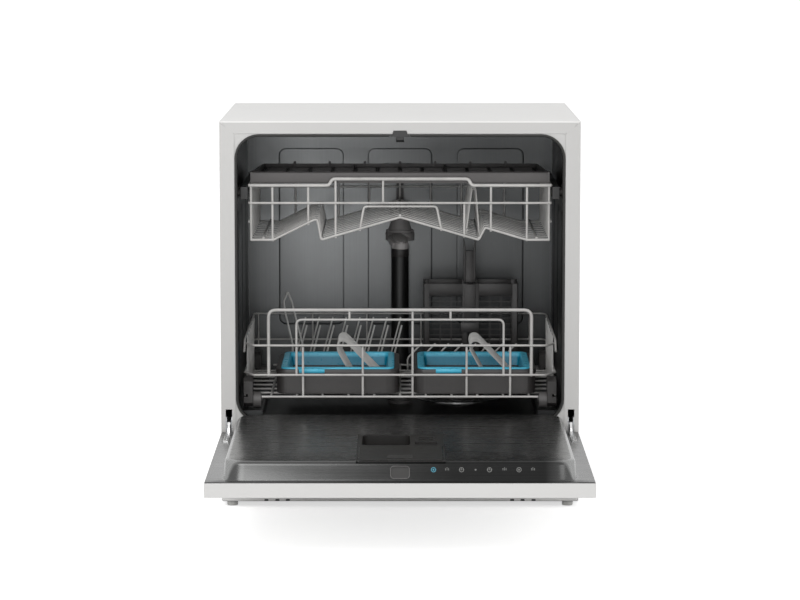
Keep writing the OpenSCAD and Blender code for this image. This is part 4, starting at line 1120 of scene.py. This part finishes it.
@dataclass
class UpperRack:
    """The glass rack's wires."""

    thin: float = 1.0
    half: float = 231.0
    front: float = 34.0
    back: float = 326.0
    cage: float = 410.0
    belt: float = 467.0
    crown: float = 494.0

    def _floor_line(self, y: float, ends: bool) -> list[Point]:
        """The zigzag floor of the rack at one depth."""
        line = [(-self.half + 2, self.cage), (-195, self.cage), (-132, 441), (-127, 441), (-121, self.cage), (0, 445),
                (121, self.cage), (131, 429), (195, self.cage), (self.half - 2, self.cage)]
        if ends:
            line = [(-self.half + 2, self.crown - 2), *line, (self.half - 2, self.crown - 2)]
        return [(x, y, z) for x, z in line]

    def build(self) -> None:
        """Creates all wires of the rack."""
        self._base()
        self._front()
        self._surround()
        self._fins()

    def _base(self) -> None:
        """Zigzag wires and the long ones above them."""
        wires = Wires("glass_rack_base")
        pitch = (self.back - self.front - 28) / 9
        for k in range(10):
            wires.add(self._floor_line(self.front + 14 + pitch * k, True), self.thin, 3.0)
        for x, z in ((-210, self.cage), (-121, self.cage), (0, 445), (121, self.cage), (210, self.cage)):
            wires.add([(x, self.front, z + 2.9), (x, self.back, z + 2.9)])
        wires.weld("wire", "upper_rack", ["upper_rack_base"])

    def _front(self) -> None:
        """Handle, belt and uprights at the front."""
        y, crest = self.front, self.crown + 10
        wires = Wires("glass_rack_front")
        handle = [(-self.half - 1, self.crown), (-109, self.crown), (-104, crest), (105, crest), (110, self.crown),
                  (self.half + 1, self.crown)]
        wires.add([(x, y, z) for x, z in handle], 2.6, 4.5)
        wires.add([(-self.half, y - 1.2, self.belt), (self.half, y - 1.2, self.belt)])
        for x, z in ((-196, self.cage - 2), (-141, 433), (-99, 413), (139.7, 423), (195, self.cage - 2)):
            wires.add([(x, y + 1.2, z), (x, y + 1.2, crest if x == -99 else self.crown)])
        wires.add([(98.8, y + 1.2, 414), (98.8, y + 1.2, self.belt)])
        wires.add([(-26, y + 1.2, self.belt), (-26, y + 1.2, crest)])
        wires.add([(x, y + 1.2, z) for x, z in ((-62, 424), (-55.3, 461.5), (56.2, 461.5), (64, 424))], 1.8, 5.0)
        wires.add(self._floor_line(y, False), 1.8, 3.0)
        for side in (-1, 1):
            wires.add([(side * (self.half - 2), y, self.cage - 1), (side * (self.half - 2), y, self.crown)])
        wires.weld("wire", "upper_rack", ["upper_rack_front"])

    def _surround(self) -> None:
        """Rims, belts and uprights of the back and the sides."""
        y = self.back
        wires = Wires("glass_rack_surround")
        wires.add([(-self.half - 1, y, self.crown), (self.half + 1, y, self.crown)], 2.6)
        wires.add([(-self.half, y + 1.2, self.belt), (self.half, y + 1.2, self.belt)])
        wires.add(self._floor_line(y, False), 1.8, 3.0)
        for x, z in ((-229, self.cage), (-170, 422), (-100, 416), (-50, 431), (0, 444), (50, 431), (100, 416),
                     (170, 417), (229, self.cage)):
            wires.add([(x, y - 1.2, z - 1), (x, y - 1.2, self.crown)])
        for side in (-1, 1):
            wires.add([(side * self.half, self.front + 3, self.crown), (side * self.half, y, self.crown)], 2.6)
            for z in (self.belt, 438):
                wires.add([(side * (self.half + 0.6), self.front + 3, z), (side * (self.half + 0.6), y, z)])
        wires.weld("wire", "upper_rack", ["upper_rack_surround"])

    def _fins(self) -> None:
        """Narrow hoops that hold glasses at the right."""
        wires = Wires("glass_hoops")
        for k in range(9):
            y = self.front + 28 + 29 * k
            wires.add([(x, y, z) for x, z in ((102, 416), (111, 486), (117, 486), (123, 412))], self.thin, 2.8)
        wires.add([(103.6, self.front + 10, 424), (103.6, self.back - 10, 424)], 1.5)
        wires.weld("wire", "upper_rack", ["glass_fins"])


@dataclass
class LowerRack:
    """The plate rack's wires and folding tines."""

    half: float = 241.0
    front: float = 34.0
    back: float = 380.0
    low: float = 166.0
    mid: float = 200.0
    rim: float = 246.0
    side: float = 252.0
    grip: float = 301.0
    tine_z: float = 170.2
    plate_y: float = 283.0
    bowl_y: float = 260.0

    def build(self) -> None:
        """Creates all wires of the rack."""
        self._base()
        self._front()
        self._back()
        self._sides()
        self._tines()

    def _base(self) -> None:
        """The floor grid and the tall hairpin at the left."""
        wires = Wires("plate_rack_base")
        for k in range(11):
            wires.add([(-200 + 40 * k, self.front, self.low), (-200 + 40 * k, self.back, self.low)])
        for y in (92, 134, 176, 218, 262, 306, 330):
            wires.add([(-self.half, y, self.low - 2.7), (self.half, y, self.low - 2.7)])
        y = self.front + 221
        pin = ((-162, self.low), (-157, 216), (-175, 288), (-181, 303), (-187.5, 287), (-186, 274), (-173, 216),
               (-176, self.low))
        wires.add([(x, y, z) for x, z in pin], 1.6, 3.0)
        wires.add([(-180, y, self.low - 1), (-158, y, self.low - 1)])
        wires.weld("wire", "lower_rack", ["lower_rack_base"])

    def _front(self) -> None:
        """Rails that step back at the ends, uprights and the double handle."""
        y = self.front
        wires = Wires("plate_rack_front")
        for z in (self.rim, self.mid):
            wires.add([(-self.half, y + 28, z), (-226, y, z), (226, y, z), (self.half, y + 28, z)], 1.8, 5.0)
        wires.add([(-214, y, self.low), (214, y, self.low)])
        for x in (-150, -57.6, 19.4, 103, 170.4):
            wires.add([(x, y + 2.4, self.low - 1), (x, y + 2.4, self.grip if x == 19.4 else self.rim + 1)])
        wires.add([(-203, y + 1.5, self.mid - 2), (-203, y + 1.5, self.grip), (203, y + 1.5, self.grip),
                   (203, y + 1.5, self.mid - 2)], 2.6, 12.0, steps=6)
        wires.add([(-160, y + 1.5, self.mid - 2), (-160, y + 1.5, self.grip - 15), (160, y + 1.5, self.grip - 15),
                   (160, y + 1.5, self.mid - 2)], 1.8, 9.0, steps=6)
        for x in (-78, 78):
            wires.add([(x, y + 1.5, self.grip - 15), (x, y + 1.5, self.grip)])
        wires.weld("wire", "lower_rack", ["lower_rack_front"])

    def _back(self) -> None:
        """The rack's back."""
        y = self.back
        wires = Wires("plate_rack_back")
        for z in (self.side, self.mid + 9):
            wires.add([(-self.half, y - 30, z), (-self.half, y, z), (self.half, y, z), (self.half, y - 30, z)],
                      1.4, 12.0, steps=6)
        wires.add([(-210, y, self.low), (210, y, self.low)])
        for k in range(6):
            x = -234 + 89.6 * k
            wires.add([(x, y - 2, self.low + 34), (x, y - 2, self.side + 1)], 1.2)
        wires.weld("wire", "lower_rack", ["lower_rack_back"])

    def _sides(self) -> None:
        """Side grilles with upright and leaning wires."""
        near, far = self.front + 28, self.back - 30
        wires = Wires("plate_rack_sides")
        for s in (-1, 1):
            x = s * self.half
            wires.add([(x, near - 22, self.rim - 10), (x, near, self.side), (x, far, self.side)], 1.8, 6.0)
            wires.add([(x, near, self.mid), (x, far, self.mid)])
            wires.add([(x, near - 6, self.low), (x, far + 6, self.low)])
            inner = s * (self.half - 2.4)
            for k in range(6):
                y = near + 22 + 42 * k
                wires.add([(inner, y, self.low - 1), (inner, y, self.mid), (inner, y + 18, self.side + 1)], 1.3, 3.0)
        wires.weld("wire", "lower_rack", ["lower_rack_sides"])

    def _tines(self) -> None:
        """Both rows of folding tines."""
        z, y = self.tine_z, self.plate_y
        plates = Wires("plate_row_tines")
        for k in range(8):
            x = -176 + 22 * k
            plates.add([(x, y, z), (x + 23, y, z + 88)], 1.3)
            plates.add([(x + 5, y, z), (x + 7, y - 9, z + 6), (x + 25, y - 9, z + 76)], 1.5, 3.0)
        plates.add([(-182, y, z), (8, y, z)], 2.0)
        plates.weld("wire", "plate_rows", ["plate_tines"])
        bowls = Wires("bowl_row_tines")
        for k in range(8):
            x = 35.3 + 21.9 * k
            path = ((x - 23, z), (x - 23, z + 24), (x, z + 48))
            bowls.add([(u, self.bowl_y, v) for u, v in path], 1.4, 4.0)
        bowls.add([(8, self.bowl_y, z), (196, self.bowl_y, z)], 2.0)
        bowls.weld("wire", "bowl_rows", ["bowl_tines"])


@dataclass
class WashBoxCombs:
    """Leaning wire fins over the blue inserts."""

    places: Flat = (-97.0, 115.5)
    near: float = 52.0
    z: float = 191.5

    def build(self) -> None:
        """Creates the wires of both boxes."""
        wires = Wires("insert_fins")
        for k, middle in enumerate(self.places):
            shift = -5 * k
            for y in (36, 64, 92, 120):
                wires.add([(middle - 84.5, self.near + y, self.z), (middle + 84.5, self.near + y, self.z)], 1.3)
            for n in range(10):
                y = self.near + 31 + 11 * n
                line = ((21, 0), (-2, 42), (1, 54), (11, 55), (64, 0))
                wires.add([(middle + shift + dx, y, self.z + up) for dx, up in line], 0.8, 6.0)
            for dx in (21, 64):
                x = middle + dx + shift
                wires.add([(x, self.near + 24, self.z - 1.2), (x, self.near + 138, self.z - 1.2)], 1.3)
        wires.weld("wire", "lower_rack", ["fin_combs"])


@dataclass
class InsertFrames:
    """Blue frames that hang in the wash boxes, each with a dark slatted floor."""

    places: Flat = (-97.0, 115.5)
    middle_y: float = 149.5
    floor: float = 188.0
    rim: float = 208.1
    wide: float = 189.0
    deep: float = 194.0
    ledge: float = 6.5

    def build(self) -> None:
        """Creates both frames, both floors and the box edges around them."""
        frames = Form("insert_frames")
        floors = Form("insert_floors")
        ledges = Form("box_ledges")
        for middle in self.places:
            rings = ((-1.5, -3.2, 19.0), (0.0, 0.0, 19.5), (0.0, 2.0, 19.5), (0.9, 2.9, 19.0), (8.4, 2.9, 13.0),
                     (9.4, 2.2, 12.5), (13.5, -17.2, 9.0), (9.0, -17.2, 12.0), (4.5, -4.0, 16.0), (-1.5, -3.2, 19.0))
            self._ring(frames, middle, [(inset + self.ledge, up, radius - 5) for inset, up, radius in rings])
            self._ring(ledges, middle, ((-1.6, -6.0, 20.5), (-1.6, -0.6, 20.5), (-0.8, 0.4, 20.0), (7.5, 0.4, 12.0),
                                        (7.5, -1.2, 12.0), (0.2, -1.2, 19.2), (0.2, -6.0, 19.2), (-1.6, -6.0, 20.5)))
            self._floor(floors, middle)
            near = self.middle_y - self.deep / 2
            frames.block((middle - 60, near - 2.4, self.rim - 8), (middle - 20, near + self.ledge + 2, self.rim - 1.2),
                         0.6)
        frames.finish("blue_plastic", "lower_rack", ["wash_inserts"], angle=40)
        ledges.finish("dark_plastic", "lower_rack", angle=40)
        floors.finish("dark_plastic", "lower_rack")

    def _ring(self, form: Form, middle: float, rings: Sequence[Point]) -> None:
        """Lofts one closed ring from insets, heights over the box's edge and corner radii."""
        form.loft([[(x + middle, y + self.middle_y, self.rim - 2.9 + up)
                    for x, y in rounded_outline(self.wide - 2 * inset, self.deep - 2 * inset, radius, 8)]
                   for inset, up, radius in rings])

    def _floor(self, form: Form, middle: float) -> None:
        """One floor: a border and long slats with slots between them."""
        half_w, half_d = self.wide / 2 - 11, self.deep / 2 - 11
        low, high = self.floor - 1.6, self.floor
        for k in range(19):
            y = self.middle_y - half_d + 2 * half_d * k / 18
            form.block((middle - half_w, max(y - 2.6, self.middle_y - half_d), low),
                       (middle + half_w, min(y + 2.6, self.middle_y + half_d), high), 0.4)
        for x in (middle - half_w, middle - 4, middle + half_w - 8):
            form.block((x, self.middle_y - half_d, low - 1), (x + 8, self.middle_y + half_d, high - 0.4))


@dataclass
class CutleryTray:
    """Shallow tray over the glass rack, with a slotted floor and a lower back edge."""

    low: float = 497.2
    front: float = 38.0
    back: float = 318.0
    half: Flat = (230.0, 222.0)
    high: Flat = (17.0, 8.0)

    def build(self) -> None:
        """Creates floor, walls and dividers."""
        form = Form("slotted_tray")
        depth = self.back - self.front
        for k in range(11):
            y = self.front + 4 + (depth - 10) * k / 10
            half = self.half[0] + (self.half[1] - self.half[0]) * (y - self.front) / depth - 1
            form.block((-half, y - 3, self.low), (half, y + 3, self.low + 2), 0.4)
        for k in range(13):
            x = -216 + 36 * k
            form.block((x - 3, self.front + 2, self.low), (x + 3, self.back - 2, self.low + 1.8), 0.4)
        for x in (-73, 73):
            self._wall(form, (x, self.front + 1), (x, self.back - 1), (11, 7), 1.2)
        corners = [(-self.half[0], self.front), (self.half[0], self.front), (self.half[1], self.back),
                   (-self.half[1], self.back)]
        heights = (self.high[0], self.high[0], self.high[1], self.high[1])
        for k in range(4):
            j = (k + 1) % 4
            self._wall(form, corners[k], corners[j], (heights[k], heights[j]), 2.4)
        form.block((-self.half[0] + 2, self.front, self.low + self.high[0] - 2),
                   (self.half[0] - 2, self.front + 11, self.low + self.high[0]), 0.6)
        for k in range(-3, 4):
            form.block((57 * k - 2, self.back - 4, self.low + 4), (57 * k + 2, self.back - 1, self.low + 12), 0.5)
        form.finish("grey_plastic", "tray", ["cutlery_tray"], angle=30, look="tray_plastic")

    def _wall(self, form: Form, start: Flat, end: Flat, high: Flat, thick: float) -> None:
        """An upright wall between two corners, on the inner side, its top sloping from one height to the other."""
        along = Vector((end[0] - start[0], end[1] - start[1], 0)).normalized()
        inner = Vector((-along.y, along.x, 0)) * thick
        outline = [(*start, self.low), (*end, self.low), (*end, self.low + high[1]), (*start, self.low + high[0])]
        form.slab(outline, tuple(inner), 0.4)


@dataclass
class CutleryBasket:
    """Two bins with grilled windows and a tall pronged handle between them."""

    x: float = 115.4
    y: float = 340.0
    z: float = 168.1
    wide: float = 154.0
    deep: float = 66.0
    high: float = 142.0
    columns: int = 3
    rows: int = 12

    def build(self) -> None:
        """Creates the basket."""
        form = Form("lattice_basket")
        bin_wide = (self.wide - 8) / 2
        for side in (-1, 1):
            middle = self.x + side * (bin_wide / 2 + 4)
            self._bin(form, middle - bin_wide / 2, middle + bin_wide / 2)
        top, near = self.z + self.high, self.y - self.deep / 2
        x, y = self.x - 1.4, self.y
        form.block((x - 7.4, y - 4, self.z + 1), (x + 7.4, y + 2.5, top + 51), 0.8)
        for side in (-1, 1):
            prong = [(x + side * dx, y - 5, z) for dx, z in ((6.2, self.z + 2), (9.8, self.z + 2), (9.8, top + 56),
                                                             (11.2, top + 70), (9.2, top + 70), (6.2, top + 55))]
            form.slab(prong, (0, 9, 0), 0.6)
        form.block((x - 9.8, near - 1.2, self.z + 76), (x + 9.8, y, top - 1), 0.8)
        form.block((x - 15, near - 1.4, self.z + 62), (x + 15, near + 1.6, self.z + 78), 0.8)
        form.finish("grey_plastic", "lower_rack", ["cutlery_basket"], angle=30, look="basket_plastic")

    def _bin(self, form: Form, x0: float, x1: float) -> None:
        """One bin: floor, walls with a window in each, and the grilles."""
        y0, y1 = self.y - self.deep / 2, self.y + self.deep / 2
        z0, z1 = self.z, self.z + self.high
        form.block((x0, y0, z0), (x1, y1, z0 + 2), 0.5)
        for wall in (y0, y1 - 2):
            self._window(form, (x0, x1), (z0, z1), lambda u, v, d, w=wall: (u, w + d, v), self.columns)
        for wall in (x0, x1 - 2):
            self._window(form, (y0, y1), (z0, z1), lambda u, v, d, w=wall: (w + d, u, v), self.columns)

    def _window(self, form: Form, across: Flat, up: Flat, place: Place, columns: int) -> None:
        """A wall of four borders with thin upright and level bars in its opening.

        Args:
            form: The form it is added to.
            across: Where the wall begins and ends along itself.
            up: Its lowest and highest level.
            place: Turns the wall's own (across, up, deep) into a point.
            columns: Number of openings side by side.
        """
        border, foot, crown, thick = 9.5, 12.0, 20.0, 2.0
        left, right = across
        low, high = up
        for a, b, c, d, e in ((left, left + border, low, high, 0.0), (right - border, right, low, high, 0.0),
                              (left + border - 1, right - border + 1, low, low + foot, 0.07),
                              (left + border - 1, right - border + 1, high - crown, high - 0.1, 0.07)):
            form.block(place(a, c, e), place(b, d, thick - e), 0.5)
        inner = right - left - 2 * border
        for k in range(1, columns):
            u = left + border + inner * k / columns
            form.block(place(u - 0.6, low + foot - 1, 0.3), place(u + 0.6, high - crown + 1, 1.6))
        for k in range(1, self.rows):
            v = low + foot + (high - low - foot - crown) * k / self.rows
            form.block(place(left + border - 1, v - 0.5, 0.4), place(right - border + 1, v + 0.5, 1.5))


def main() -> None:
    """Builds everything in order."""
    logging.basicConfig(level=logging.INFO, format="%(message)s")
    PhotoCamera().build()
    Studio().build()
    Solids().build()
    for assembly in (Tub(), Trim(), Springs(), DoorLiner(), UpperRack(), LowerRack(), WashBoxCombs(), InsertFrames(),
                     CutleryTray(), CutleryBasket()):
        assembly.build()
        log.info("%s finished", type(assembly).__name__)


if __name__ == "__main__":
    main()
